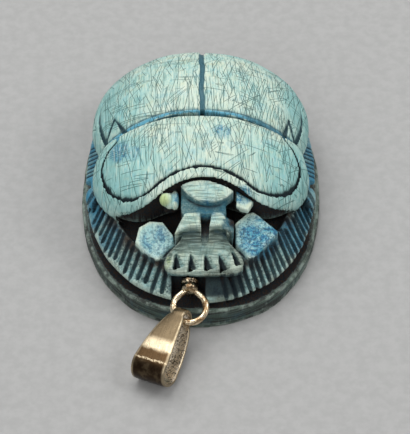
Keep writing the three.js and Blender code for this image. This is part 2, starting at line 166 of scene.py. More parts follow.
@dataclass
class Block:
    """The block that the amulet is carved from: a regular grid of points, in mm."""

    low: Place = (-13.0, -18.0, -0.5)
    high: Place = (13.0, 18.0, 13.1)
    step: float = 0.13
    steepest: float = 3.0  # a height that changes faster for each mm counts as this
    waves: tuple[float, ...] = (9.0, 6.5, 4.6, 3.3, 2.4, 1.8)  # lengths of the slow unevenness
    full_wave: float = 14.0  # the length that would move the surface by the whole amount
    px: Field = field(init=False)
    py: Field = field(init=False)
    z: Field = field(init=False)

    def __post_init__(self) -> None:
        """Lays the grid out."""
        x, y, self.z = (
            np.arange(a, b, self.step, dtype=np.float32) for a, b in zip(self.low, self.high)
        )
        self.px, self.py = (m.astype(np.float32) for m in np.meshgrid(x, y, indexing="ij"))

    def steepness(self, plan: Field) -> Field:
        """How much a plan map changes for each mm."""
        along_x, along_y = np.gradient(plan, self.step)
        return np.sqrt(along_x**2 + along_y**2)

    def path_distance(self, points: Plan) -> Field:
        """Distance in plan to an open path.

        Args:
            points: The path's corners.

        Returns:
            A plan map in mm.
        """
        nearest = np.full(self.px.shape, FAR, np.float32)
        for (ax, ay), (bx, by) in zip(points, points[1:]):
            dx, dy = bx - ax, by - ay
            span = max(dx * dx + dy * dy, 1e-9)
            share = np.clip(((self.px - ax) * dx + (self.py - ay) * dy) / span, 0, 1)
            off_x, off_y = self.px - ax - share * dx, self.py - ay - share * dy
            np.minimum(nearest, off_x * off_x + off_y * off_y, out=nearest)
        return np.sqrt(nearest)

    def outline_distance(self, points: Plan) -> Field:
        """Signed distance in plan to a closed outline, negative inside it.

        Args:
            points: The outline's corners.

        Returns:
            A plan map in mm.
        """
        closed = [*points, points[0]]
        inside = np.zeros(self.px.shape, bool)
        for (ax, ay), (bx, by) in zip(closed, closed[1:]):
            if ay != by:
                crosses = (ay > self.py) != (by > self.py)
                inside ^= crosses & (self.px < (bx - ax) * (self.py - ay) / (by - ay) + ax)
        return self.path_distance(closed) * np.where(inside, -1, 1)

    def under(self, height: Field) -> Field:
        """Signed distance to the space under a plan map of heights, negative below it."""
        lean = np.sqrt(1 + np.minimum(self.steepness(height), self.steepest) ** 2)
        return (self.z - height[:, :, None]) / lean[:, :, None]

    def upright(self, outline: Field, height: Field, foot: float, blend: float) -> Field:
        """A block with upright walls and a top that may slope.

        Args:
            outline: Signed distance in plan to its outline.
            height: Plan map of its top.
            foot: Level of its underside.
            blend: Rounding of its edges.

        Returns:
            Signed distance to it.
        """
        top = self.under(height.astype(np.float32))
        sides = smooth_max(outline[:, :, None], top, blend)
        return np.maximum(sides, foot - self.z)

    def box(self, low: Sequence[float], high: Sequence[float], blend: float = 0.1) -> Field:
        """Carves a box.

        Args:
            low: One corner.
            high: The opposite one.
            blend: Rounding of its edges.

        Returns:
            Signed distance to it.
        """
        middle = [(a + b) / 2 for a, b in zip(low, high)]
        half = [(b - a) / 2 for a, b in zip(low, high)]
        across = np.abs(self.px - middle[0]) - half[0]
        along = np.abs(self.py - middle[1]) - half[1]
        plan = smooth_max(across, along, blend)[:, :, None]
        return smooth_max(plan, np.abs(self.z - middle[2]) - half[2], blend)

    def egg(self, centre: Sequence[float], size: Sequence[float]) -> Field:
        """Carves an ellipsoid.

        Args:
            centre: Its middle.
            size: Its half sizes.

        Returns:
            Signed distance to it.
        """
        plan = ((self.px - centre[0]) / size[0]) ** 2 + ((self.py - centre[1]) / size[1]) ** 2
        reach = np.sqrt(plan[:, :, None] + ((self.z - centre[2]) / size[2]) ** 2)
        return (reach - 1) * min(size)

    def wobble(self, amount: float) -> Field:
        """A slow unevenness of hand carving.

        Args:
            amount: About how far the surface moves, in mm.

        Returns:
            A field to add to the signed distance.
        """
        rng = np.random.default_rng(SEED)
        total = np.zeros((*self.px.shape, self.z.size), np.float32)
        for length in self.waves:
            run = rng.normal(size=3)
            run *= 2 * math.pi / length / np.linalg.norm(run)
            plan = self.px * run[0] + self.py * run[1] + rng.uniform(0, 6.28)
            wave = np.sin(plan[:, :, None] + self.z * run[2])
            total += wave * (amount * length / self.full_wave)
        return total.astype(np.float32)

    def blur(self, values: Field, radius: float) -> Field:
        """Averages a field over a box twice, which is close to a round blur.

        Args:
            values: The field.
            radius: Half the box's side, in mm.

        Returns:
            The blurred field.
        """
        reach = max(1, round(radius / self.step))
        for _ in range(2):
            for axis in range(3):
                padding = [(0, 0)] * 3
                padding[axis] = (reach + 1, reach)
                padded = np.pad(values, padding, mode="edge")
                total = np.moveaxis(np.cumsum(padded, axis=axis, dtype=np.float32), axis, 0)
                width = 2 * reach + 1
                values = np.moveaxis((total[width:] - total[:-width]) / width, 0, axis)
        return values

    def at(self, values: Field, points: Field) -> Field:
        """Reads a field or a plan map at points, between the grid's own.

        Args:
            values: A field on the grid, or a plan map.
            points: Rows of x, y, z in mm.

        Returns:
            One value a point.
        """
        axes = values.ndim
        place = (points[:, :axes] - np.array(self.low[:axes])) / self.step
        place = np.clip(place, 0, np.array(values.shape) - 1.001)
        cell = place.astype(np.int32)
        share = (place - cell).astype(np.float32)
        total = np.zeros(len(points), np.float32)
        for corner in np.ndindex(*(2,) * axes):
            weight = np.prod([s if c else 1 - s for c, s in zip(corner, share.T)], axis=0)
            total += weight * values[tuple((cell + corner).T)]
        return total

    def skin(self, distance: Field) -> tuple[Field, Field]:
        """The surface where a field is zero, as four-sided faces.

        Args:
            distance: Signed distance to the solid.

        Returns:
            Corner positions in mm, and rows of four corner numbers facing out.
        """
        inside = distance < 0
        corners = list(np.ndindex(2, 2, 2))
        shape = [n - 1 for n in distance.shape]
        count = np.zeros(shape, np.uint8)
        for i, j, k in corners:
            count += inside[i : i + shape[0], j : j + shape[1], k : k + shape[2]]
        cells = np.argwhere((count > 0) & (count < 8))
        values = np.stack([distance[tuple((cells + c).T)] for c in corners], axis=1)
        total = np.zeros((len(cells), 3))
        crossings = np.zeros(len(cells))
        for a, first in enumerate(corners):
            for b, second in enumerate(corners):
                if b > a and sum(abs(p - q) for p, q in zip(first, second)) == 1:
                    cut = (values[:, a] < 0) != (values[:, b] < 0)
                    gap = np.where(cut, values[:, a] - values[:, b], 1)
                    share = np.where(cut, values[:, a] / gap, 0)[:, None]
                    spot = np.array(first) + share * (np.array(second) - np.array(first))
                    total += spot * cut[:, None]
                    crossings += cut
        places = (cells + total / crossings[:, None]) * self.step + np.array(self.low)
        number = np.full(shape, -1, np.int32)
        number[tuple(cells.T)] = np.arange(len(cells))
        faces = []
        for axis in range(3):
            one, two = [a for a in range(3) if a != axis]
            here = np.moveaxis(inside, (axis, one, two), (0, 1, 2))
            flips = np.argwhere(here[:-1, 1:-1, 1:-1] != here[1:, 1:-1, 1:-1]) + (0, 1, 1)
            solid_first = here[tuple(flips.T)]
            numbers = np.moveaxis(number, (axis, one, two), (0, 1, 2))
            ring = [
                numbers[flips[:, 0], flips[:, 1] - p, flips[:, 2] - q]
                for p, q in ((1, 1), (0, 1), (0, 0), (1, 0))
            ]
            square = np.stack(ring, axis=1)
            forward = solid_first if axis != 1 else ~solid_first
            faces.append(np.where(forward[:, None], square, square[:, ::-1]))
        return places, np.concatenate(faces)


BLOCK = Block()  # all parts of the stone are carved from it


@dataclass(frozen=True)
class Oval:
    """A superellipse in plan, in mm. A roundness of 2 is an ellipse, and more is squarer."""

    half_width: float
    half_length: float
    centre: float = 0.0
    roundness: float = 2.2

    def share(self) -> Field:
        """How far out the stone lies.

        Returns:
            A plan map, 0 at the centre and 1 on the outline.
        """
        across = np.abs(BLOCK.px / self.half_width) ** self.roundness
        along = np.abs((BLOCK.py - self.centre) / self.half_length) ** self.roundness
        return (across + along) ** (1 / self.roundness)

    def distance(self, share: float = 1.0) -> Field:
        """Signed distance in plan to the outline, or to a line at a smaller share of it."""
        shares = self.share()
        return (shares - share) / np.maximum(BLOCK.steepness(shares), LEAST_SLOPE)

    def edge_point(self, y: float) -> Pair:
        """The outline's point on the right side at a place along it."""
        rest = 1 - abs((y - self.centre) / self.half_length) ** self.roundness
        return self.half_width * max(rest, 0.0) ** (1 / self.roundness), y


@dataclass(frozen=True)
class Dome:
    """A domed back on an oval, with an upright rim under it that steps in, in mm."""

    oval: Oval
    rim: float
    rise: float
    fullness: float
    step_in: float = 0.05
    step_levels: Pair = (0.02, 0.4)  # below the rim

    def carve(self) -> Field:
        """Carves the dome.

        Returns:
            Signed distance to it.
        """
        share = self.oval.share()
        slope = np.maximum(BLOCK.steepness(share), LEAST_SLOPE)[:, :, None]
        waist = 1 + self.step_in * ramp(self.rim - BLOCK.z, *self.step_levels)
        up = np.maximum((BLOCK.z - self.rim) / self.rise, 0)
        out = share[:, :, None] * waist
        reach = (out**self.fullness + up**self.fullness) ** (1 / self.fullness)
        reach = np.maximum(reach, 0.05)
        power = self.fullness - 1
        lean_out = (out / reach) ** power * slope
        lean_up = (up / reach) ** power / self.rise
        return (reach - 1) / np.sqrt(lean_out**2 + lean_up**2)


@dataclass(frozen=True)
class Tint:
    """A place on the stone where the glaze has its own look: a soft ball, in mm."""

    at: Place
    radius: float
    amount: float = 1.0


@dataclass(frozen=True)
class Reach:
    """Where something starts and ends along a line, each end fading between two places."""

    start: Pair
    end: Pair

    def share(self, values: Field) -> Field:
        """1 between the two ends and 0 outside them."""
        return ramp(values, *self.start) * fall(values, *self.end)


TINT_FADE = (0.55, 1.1)  # shares of a tint's radius


def tinted(points: Field, tints: Sequence[Tint]) -> Field:
    """How strongly a list of tints reaches each point.

    Args:
        points: Rows of x, y, z in mm.
        tints: The soft balls.

    Returns:
        Amounts from 0 to 1.
    """
    total = np.zeros(len(points), np.float32)
    for tint in tints:
        away = np.linalg.norm(points - np.array(tint.at), axis=1) / tint.radius
        total = np.maximum(total, tint.amount * fall(away, *TINT_FADE))
    return total


# ---- the parts of the beetle ----


@dataclass(frozen=True)
class BasePlate:
    """The oval plate under the beetle, whose edge stands higher at the two ends, in mm."""

    oval: Oval = Oval(12.5, 17.5)
    side_height: float = 1.4
    end_rise: float = 1.25
    end_power: int = 5  # the more, the nearer to the ends the edge starts to rise
    crown: float = 0.2
    crown_reach: float = 2.0
    edge_round: float = 0.3

    def carve(self) -> Field:
        """Carves the plate.

        Returns:
            Signed distance to the plate.
        """
        away = self.oval.distance()
        end = np.abs(BLOCK.py / self.oval.half_length) ** self.end_power
        top = self.side_height + self.end_rise * end + self.crown * ramp(-away, 0, self.crown_reach)
        return BLOCK.upright(away, top, 0, self.edge_round)


@dataclass(frozen=True)
class FrontLeg:
    """The row of cuts across one front leg, in mm."""

    side: Side
    cuts: int
    start: float  # the first cut's distance from the middle
    margin: float  # smooth band outside the cuts


@dataclass(frozen=True)
class SideRow:
    """A row of short cuts along both sides, in mm."""

    start: float
    pitch: float
    cuts: int


@dataclass(frozen=True)
class Legs:
    """The band round the beetle that its legs are carved on, over a narrower waist, in mm."""

    oval: Oval = Oval(12.0, 17.0)
    waist: Oval = Oval(10.9, 15.6)
    waist_foot: float = 0.5
    waist_top: float = 3.6
    waist_blend: float = 0.25
    under: float = 3.2
    edge: float = 3.75
    edge_round: float = 0.14
    crest: float = 5.45
    crest_share: float = 0.83
    inner_slope: float = 2.2
    floor: float = 4.2
    gaps: tuple[Pair, ...] = ((-3.1, -1.0), (5.3, 6.6))
    gap_depth: float = 0.55
    gap_ease: float = 0.25
    front: tuple[FrontLeg, ...] = (
        FrontLeg(Side.RIGHT, 20, 2.2, 0.15),
        FrontLeg(Side.LEFT, 16, 3.6, 0.6),
    )
    front_to: float = 11.55
    front_crowding: float = 0.9  # below 1, the cuts crowd together towards the side
    front_turn: float = 12.0  # degrees that a cut leans inward at the middle
    front_fan: float = 1.6  # and how many more it leans for each mm out
    front_length: float = 2.7
    front_depth: float = 0.6
    front_half_width: float = 0.28
    front_sharpness: float = 0.8  # below 1, the cuts have rounder floors
    loose_turn: float = 4.0  # how unlike each other the cuts are: degrees, then shares
    loose_margin: Pair = (0.2, 1.5)
    loose_length: Pair = (0.8, 1.1)
    loose_depth: Pair = (0.75, 1.15)
    side_rows: tuple[SideRow, ...] = (SideRow(-0.4, 0.58, 8), SideRow(8.2, 0.75, 9))
    side_inner: Pair = (-1.7, -0.35)  # a cut's two ends, from the band's edge
    side_outer: Pair = (0.4, 0.1)
    side_half_width: float = 0.24
    side_depth: float = 0.3

    def front_cuts(self, leg: FrontLeg) -> list[tuple[Plan, float]]:
        """The cuts across one front leg.

        Args:
            leg: The leg.

        Returns:
            Each cut's line in plan, with how strongly it was cut.
        """
        side = leg.side.value
        rng = np.random.default_rng(SEED + side)
        start = math.acos(leg.start / self.oval.half_width)
        end = math.acos(self.front_to / self.oval.half_width)
        cuts: list[tuple[Plan, float]] = []
        for i in range(leg.cuts):
            bend = start + (end - start) * (i / (leg.cuts - 1)) ** self.front_crowding
            x = self.oval.half_width * math.cos(bend) ** (2 / self.oval.roundness)
            y = -self.oval.half_length * math.sin(bend) ** (2 / self.oval.roundness)
            loose = rng.uniform(-self.loose_turn, self.loose_turn)
            angle = math.radians(self.front_turn + self.front_fan * x + loose)
            inward = (-math.sin(angle), math.cos(angle))
            outer_end = leg.margin * rng.uniform(*self.loose_margin)
            inner_end = self.front_length * rng.uniform(*self.loose_length)
            line = [
                (side * (x + inward[0] * reach), y + inward[1] * reach)
                for reach in (outer_end, inner_end)
            ]
            cuts.append((line, float(rng.uniform(*self.loose_depth))))
        return cuts

    def relief(self) -> Field:
        """How deep the legs are cut.

        Returns:
            A plan map in mm.
        """
        depth = np.zeros(BLOCK.px.shape, np.float32)
        for leg in self.front:
            for line, strength in self.front_cuts(leg):
                away = BLOCK.path_distance(line)
                cut = np.maximum(1 - away / self.front_half_width, 0) ** self.front_sharpness
                depth = np.maximum(depth, strength * self.front_depth * cut)
            side = leg.side.value
            for row in self.side_rows:
                for i in range(row.cuts):
                    x, y = self.oval.edge_point(row.start + i * row.pitch)
                    ends = (self.side_inner, self.side_outer)
                    away = BLOCK.path_distance([(side * (x + dx), y + dy) for dx, dy in ends])
                    cut = np.maximum(1 - away / self.side_half_width, 0)
                    depth = np.maximum(depth, self.side_depth * cut)
        return depth

    def carve(self) -> Field:
        """Carves the legs and the waist.

        Returns:
            Signed distance to both.
        """
        share = self.oval.share()
        slope = self.edge + (self.crest - self.edge) * (1 - share) / (1 - self.crest_share)
        inner = self.crest - (self.crest_share - share) * self.oval.half_width * self.inner_slope
        height = np.where(share > self.crest_share, slope, np.maximum(inner, self.floor))
        height = height - self.relief()
        away = self.oval.distance()
        for start, end in self.gaps:
            middle, half = (start + end) / 2, (end - start) / 2
            off = np.abs(BLOCK.py - middle)
            away = away + self.gap_depth * fall(off, half - self.gap_ease, half)
        band = BLOCK.upright(away, height, self.under, self.edge_round)
        core = np.maximum(self.waist.distance()[:, :, None], BLOCK.z - self.waist_top)
        return smooth_min(band, np.maximum(core, self.waist_foot - BLOCK.z), self.waist_blend)


@dataclass(frozen=True)
class Back:
    """The wing cases and the thorax shield, with the lines carved into them, in mm."""

    wing_cases: Dome = Dome(Oval(11.46, 10.1, 4.7, 2.08), 5.6, 6.95, 1.7)
    thorax: Dome = Dome(Oval(11.6, 10.0, -1.2, 2.1), 5.6, 6.35, 1.8)
    # the shield
    shield_edge: Plan = (
        (0, -6.55), (1.9, -6.8), (3.5, -7.35), (5, -8.1), (6.4, -8.35), (7.7, -8.15), (9, -7.5),
        (10.1, -6.4), (10.8, -5.1), (11.12, -3.5), (10.9, -2.2), (10.3, -0.9), (9.5, 0),
    )
    lean_right: float = 0.02  # how much further back the edge lies for each mm out
    lean_left: float = 0.07
    lean_reach: float = 11.2
    back_middle: float = 1.25
    back_sides: float = 0.05
    back_reach: float = 9.5
    foot_level: float = 5.3
    foot_inset: float = 1.1
    foot_ease: Pair = (-0.15, 0.35)
    undercut: float = 0.5
    undercut_ease: Pair = (0.12, 0.32)  # inside the dome
    shield_round: float = 0.14
    wings_round: float = 0.15
    # the line carved round the shield
    bean_inset: float = 1.0
    bean_half: float = 0.08
    bean_front: float = 0.035  # how much wider it is in front
    bean_right: float = 0.04  # and how much more on the right
    bean_jag: float = 0.035
    bean_jag_pitch: float = 0.13
    bean_forward: Pair = (3.0, 6.0)
    bean_rightward: Pair = (-6, 3)
    bean_fade: Pair = (0.8, 1.2)
    bean_depth: float = 0.36
    # the line and the band where the shield meets the wing cases
    seam_at: float = -0.15
    seam_edges: Pair = (0.08, 0.2)
    seam_depth: float = 0.2
    band_half: float = 9.0
    band_width: Pair = (0.22, 0.36)  # in the middle, and how much more at the sides
    band_start: Pair = (-0.02, 0.08)
    band_fade: float = 0.12
    band_shade: float = 0.6
    band_rightward: Pair = (1.5, 6.0)
    far_edge_off: float = 0.16
    far_edge_edges: Pair = (0.05, 0.15)
    far_edge_strength: float = 0.85
    far_edge_shade: float = 0.9
    far_edge_depth: float = 0.16
    # the suture between the wing cases
    suture_x: float = 0.13
    suture_half: float = 0.27
    suture_fade: Pair = (0.7, 1.2)
    suture_start: Pair = (-0.1, 0.0)
    suture_wavers: tuple[Pair, ...] = ((0.05, 1.1), (0.03, 2.7))  # mm aside, and how fast it turns
    suture_depth: float = 0.24
    # the line near the rim of the wing cases, and the triangles at their shoulders
    rim_share: float = 0.925
    rim_half: Pair = (0.055, 0.1)  # at the back, and how much more at the shoulders
    rim_fade: Pair = (0.6, 1.4)
    rim_faint: float = 0.35
    rim_forward: Pair = (0.5, 7.5)
    rim_sides: Pair = (5.0, 8.5)
    rim_start: Pair = (0, 0.1)
    rim_depth: float = 0.3
    wings_start: float = 0.3  # where they start beside the shield
    shoulders: tuple[tuple[Side, Plan], ...] = (
        (Side.RIGHT, ((9.15, 2.9), (8.35, 0.6), (9.8, 0.55))),
        (Side.LEFT, ((8.95, 2.95), (7.5, 0.7), (10.0, 0.55))),
    )
    shoulder_toe: Pair = (0.5, 0.05)
    shoulder_wedge: tuple[float, Pair] = (0.95, (-0.05, 0.1))
    shoulder_line: tuple[float, Pair] = (0.75, (0.07, 0.17))
    brink_shares: Pair = (0.62, 0.98)

    def front_edge(self) -> Plan:
        """The shield's front edge in plan from left to right, leaning a little to the left.

        Returns:
            Its points.
        """
        left = [(-x, y) for x, y in self.shield_edge[:0:-1]]
        made = []
        for x, y in smooth_curve([*left, *self.shield_edge], 4):
            lean = self.lean_left if x < 0 else self.lean_right
            made.append((x, y + lean * x * (1 - (x / self.lean_reach) ** 2)))
        return made

    def back_edge(self, x: Field) -> Field:
        """Where the shield meets the wing cases, at distances from the middle."""
        share = np.minimum(np.abs(x) / self.back_reach, 1.1) ** 2
        return self.back_middle + (self.back_sides - self.back_middle) * share

    def junction(self) -> Field:
        """Distance behind the line between shield and wing cases, negative in front of it."""
        gap = BLOCK.py - self.back_edge(BLOCK.px)
        return gap / np.maximum(BLOCK.steepness(gap), 1)

    def bean_line(self) -> Field:
        """The line round the shield, as uneven as the hand left it and bolder in front.

        Returns:
            A plan map, 1 in the line.
        """
        rng = np.random.default_rng(SEED + 2)
        noise = rng.normal(size=(*BLOCK.px.shape, 1)).astype(np.float32)
        jag = BLOCK.blur(noise, self.bean_jag_pitch)[:, :, 0]
        jag = jag / float(jag.std())
        forward = ramp(-BLOCK.py, *self.bean_forward)
        bold = self.bean_front + self.bean_right * ramp(BLOCK.px, *self.bean_rightward)
        half = self.bean_half + bold * forward + self.bean_jag * jag * forward
        away = np.abs(BLOCK.path_distance(self.front_edge()) - self.bean_inset)
        return stroke(away, half, self.bean_fade)

    def suture_line(self, behind: Field) -> Field:
        """The slightly wavering line between the two wing cases.

        Args:
            behind: Distance behind the shield.

        Returns:
            A plan map, 1 in the line.
        """
        waver = sum(aside * np.sin(BLOCK.py * pace) for aside, pace in self.suture_wavers)
        away = np.abs(BLOCK.px - self.suture_x - waver)
        return stroke(away, self.suture_half, self.suture_fade) * ramp(behind, *self.suture_start)

    def rim_line(self, behind: Field) -> Field:
        """The line inside the rim of the wing cases, bold at the shoulders and faint behind.

        Args:
            behind: Distance behind the shield.

        Returns:
            A plan map, 1 where the line is boldest.
        """
        away = np.abs(self.wing_cases.oval.distance(self.rim_share))
        bold = fall(BLOCK.py, *self.rim_forward)
        rim = stroke(away, self.rim_half[0] + self.rim_half[1] * bold, self.rim_fade)
        rim = rim * (self.rim_faint + (1 - self.rim_faint) * bold)
        return rim * ramp(np.abs(BLOCK.px), *self.rim_sides) * ramp(behind, *self.rim_start)

    def shoulder_marks(self) -> Field:
        """The triangle on each shoulder: a dark inner wedge and a thin outer line.

        Returns:
            A plan map, near 1 in the marks.
        """
        wedge = line = np.full(BLOCK.px.shape, FAR, np.float32)
        for side, corners in self.shoulders:
            apex, inner, outer = [(side.value * x, y) for x, y in corners]
            toe = (inner[0] + side.value * self.shoulder_toe[0], inner[1] + self.shoulder_toe[1])
            wedge = np.minimum(wedge, BLOCK.outline_distance([apex, inner, toe]))
            line = np.minimum(line, BLOCK.path_distance([apex, outer]))
        dark, dark_edges = self.shoulder_wedge
        thin, thin_edges = self.shoulder_line
        return np.maximum(dark * fall(wedge, *dark_edges), thin * fall(line, *thin_edges))

    def lines(self) -> Maps:
        """The carved lines as plan maps.

        Returns:
            For shield and wing cases the depth of cutting in mm, how dark each line is and
            where the blue band behind the shield runs.
        """
        behind = self.junction()
        bean, suture = self.bean_line(), self.suture_line(behind)
        rims = np.maximum(self.rim_line(behind), self.shoulder_marks())
        shield_line = fall(np.abs(behind - self.seam_at), *self.seam_edges)
        middle, more = self.band_width
        width = middle + more * np.minimum((BLOCK.px / self.band_half) ** 2, 1)
        band = ramp(behind, *self.band_start) * fall(behind, width, width + self.band_fade)
        far_edge = fall(np.abs(behind - width - self.far_edge_off), *self.far_edge_edges)
        far_edge = self.far_edge_strength * far_edge
        deep = self.band_shade * band * ramp(BLOCK.px, *self.band_rightward)
        cut = self.suture_depth * suture + self.rim_depth * rims
        maps = {
            "shield_cut": self.bean_depth * bean + self.seam_depth * shield_line,
            "wings_cut": cut + self.far_edge_depth * far_edge,
            "bean": bean,
            "rims": rims,
            "seam": np.maximum.reduce([self.far_edge_shade * far_edge, shield_line, deep]),
            "band": band,
            "suture": suture,
            "behind": behind,
        }
        return {name: values.astype(np.float32) for name, values in maps.items()}

    def brink(self, points: Field) -> Field:
        """How near the back's outer edge points lie.

        Args:
            points: Rows of x, y, z in mm.

        Returns:
            Shares from 0 to 1.
        """
        wings = BLOCK.at(self.wing_cases.oval.share(), points)
        thorax = BLOCK.at(self.thorax.oval.share(), points)
        return ramp(np.minimum(wings, thorax), *self.brink_shares)

    def carve(self, lines: Maps) -> Field:
        """Carves the shield and the wing cases.

        Args:
            lines: The carved lines.

        Returns:
            Signed distance to both, with their lines cut.
        """
        rear = np.linspace(self.back_reach, -self.back_reach, 13)[1:-1]
        edge = [*self.front_edge(), *((x, float(self.back_edge(np.array(x)))) for x in rear)]
        inset = self.foot_inset * ramp(self.foot_level - BLOCK.z, *self.foot_ease)
        dome = self.thorax.carve()
        inset = inset + self.undercut * ramp(-dome, *self.undercut_ease)
        walls = BLOCK.outline_distance(edge)[:, :, None] + inset
        shield = smooth_max(dome, walls, self.shield_round) + lines["shield_cut"][:, :, None]
        beside = np.abs(BLOCK.px) > self.back_reach
        ahead = -np.where(beside, BLOCK.py - self.wings_start, lines["behind"])
        wings = smooth_max(self.wing_cases.carve(), ahead[:, :, None], self.wings_round)
        return np.minimum(shield, wings + lines["wings_cut"][:, :, None])


@dataclass(frozen=True)
class Facet:
    """A small block with a sloping flat top, in mm."""

    corners: Plan
    at: Place  # a point of its top
    across: float  # how far the top rises for each mm to the right
    along: float  # and for each mm backwards
    foot: float
    edge_round: float

    def carve(self) -> Field:
        """Carves the BLOCK.

        Returns:
            Signed distance to it.
        """
        x, y, z = self.at
        top = z + self.across * (BLOCK.px - x) + self.along * (BLOCK.py - y)
        away = BLOCK.outline_distance(self.corners)
        return BLOCK.upright(away, top, self.foot, self.edge_round)


@dataclass(frozen=True)
class Crown:
    """The lens-shaped plate on top of the head, in mm."""

    centre: float = 0.68
    half_width: float = 2.66
    middle: float = -7.4
    turn: float = 0.09  # how far it lies forward for each mm to the right
    front: float = 1.38
    rear: float = 0.6
    fullness: float = 0.8
    lean: float = 0.9  # a distance off the curved edge for each mm along the head
    tips: float = 2.5
    top: Pair = (10.1, -6.9)  # level, and where along the head
    slope: float = 0.42
    hump: float = 0.02
    hump_x: float = 0.6
    foot: float = 8.0
    tip_round: float = 0.06
    edge_round: float = 0.08

    def level(self, y: Field) -> Field:
        """Levels of its sloping top at places along the head."""
        return self.top[0] + self.slope * (y - self.top[1])

    def carve(self) -> Field:
        """Carves the plate.

        Returns:
            Signed distance to it.
        """
        across = (BLOCK.px - self.centre) / self.half_width
        lens = np.maximum(1 - across**2, 0) ** self.fullness
        middle = self.middle - self.turn * (BLOCK.px - self.centre)
        ahead = middle - self.front * lens - BLOCK.py
        along = np.maximum(ahead, BLOCK.py - middle - self.rear * lens) * self.lean
        away = smooth_max(along, (np.abs(across) - 1) * self.tips, self.tip_round)
        height = self.level(BLOCK.py) - self.hump * (BLOCK.px - self.hump_x) ** 2
        return BLOCK.upright(away, height, self.foot, self.edge_round)


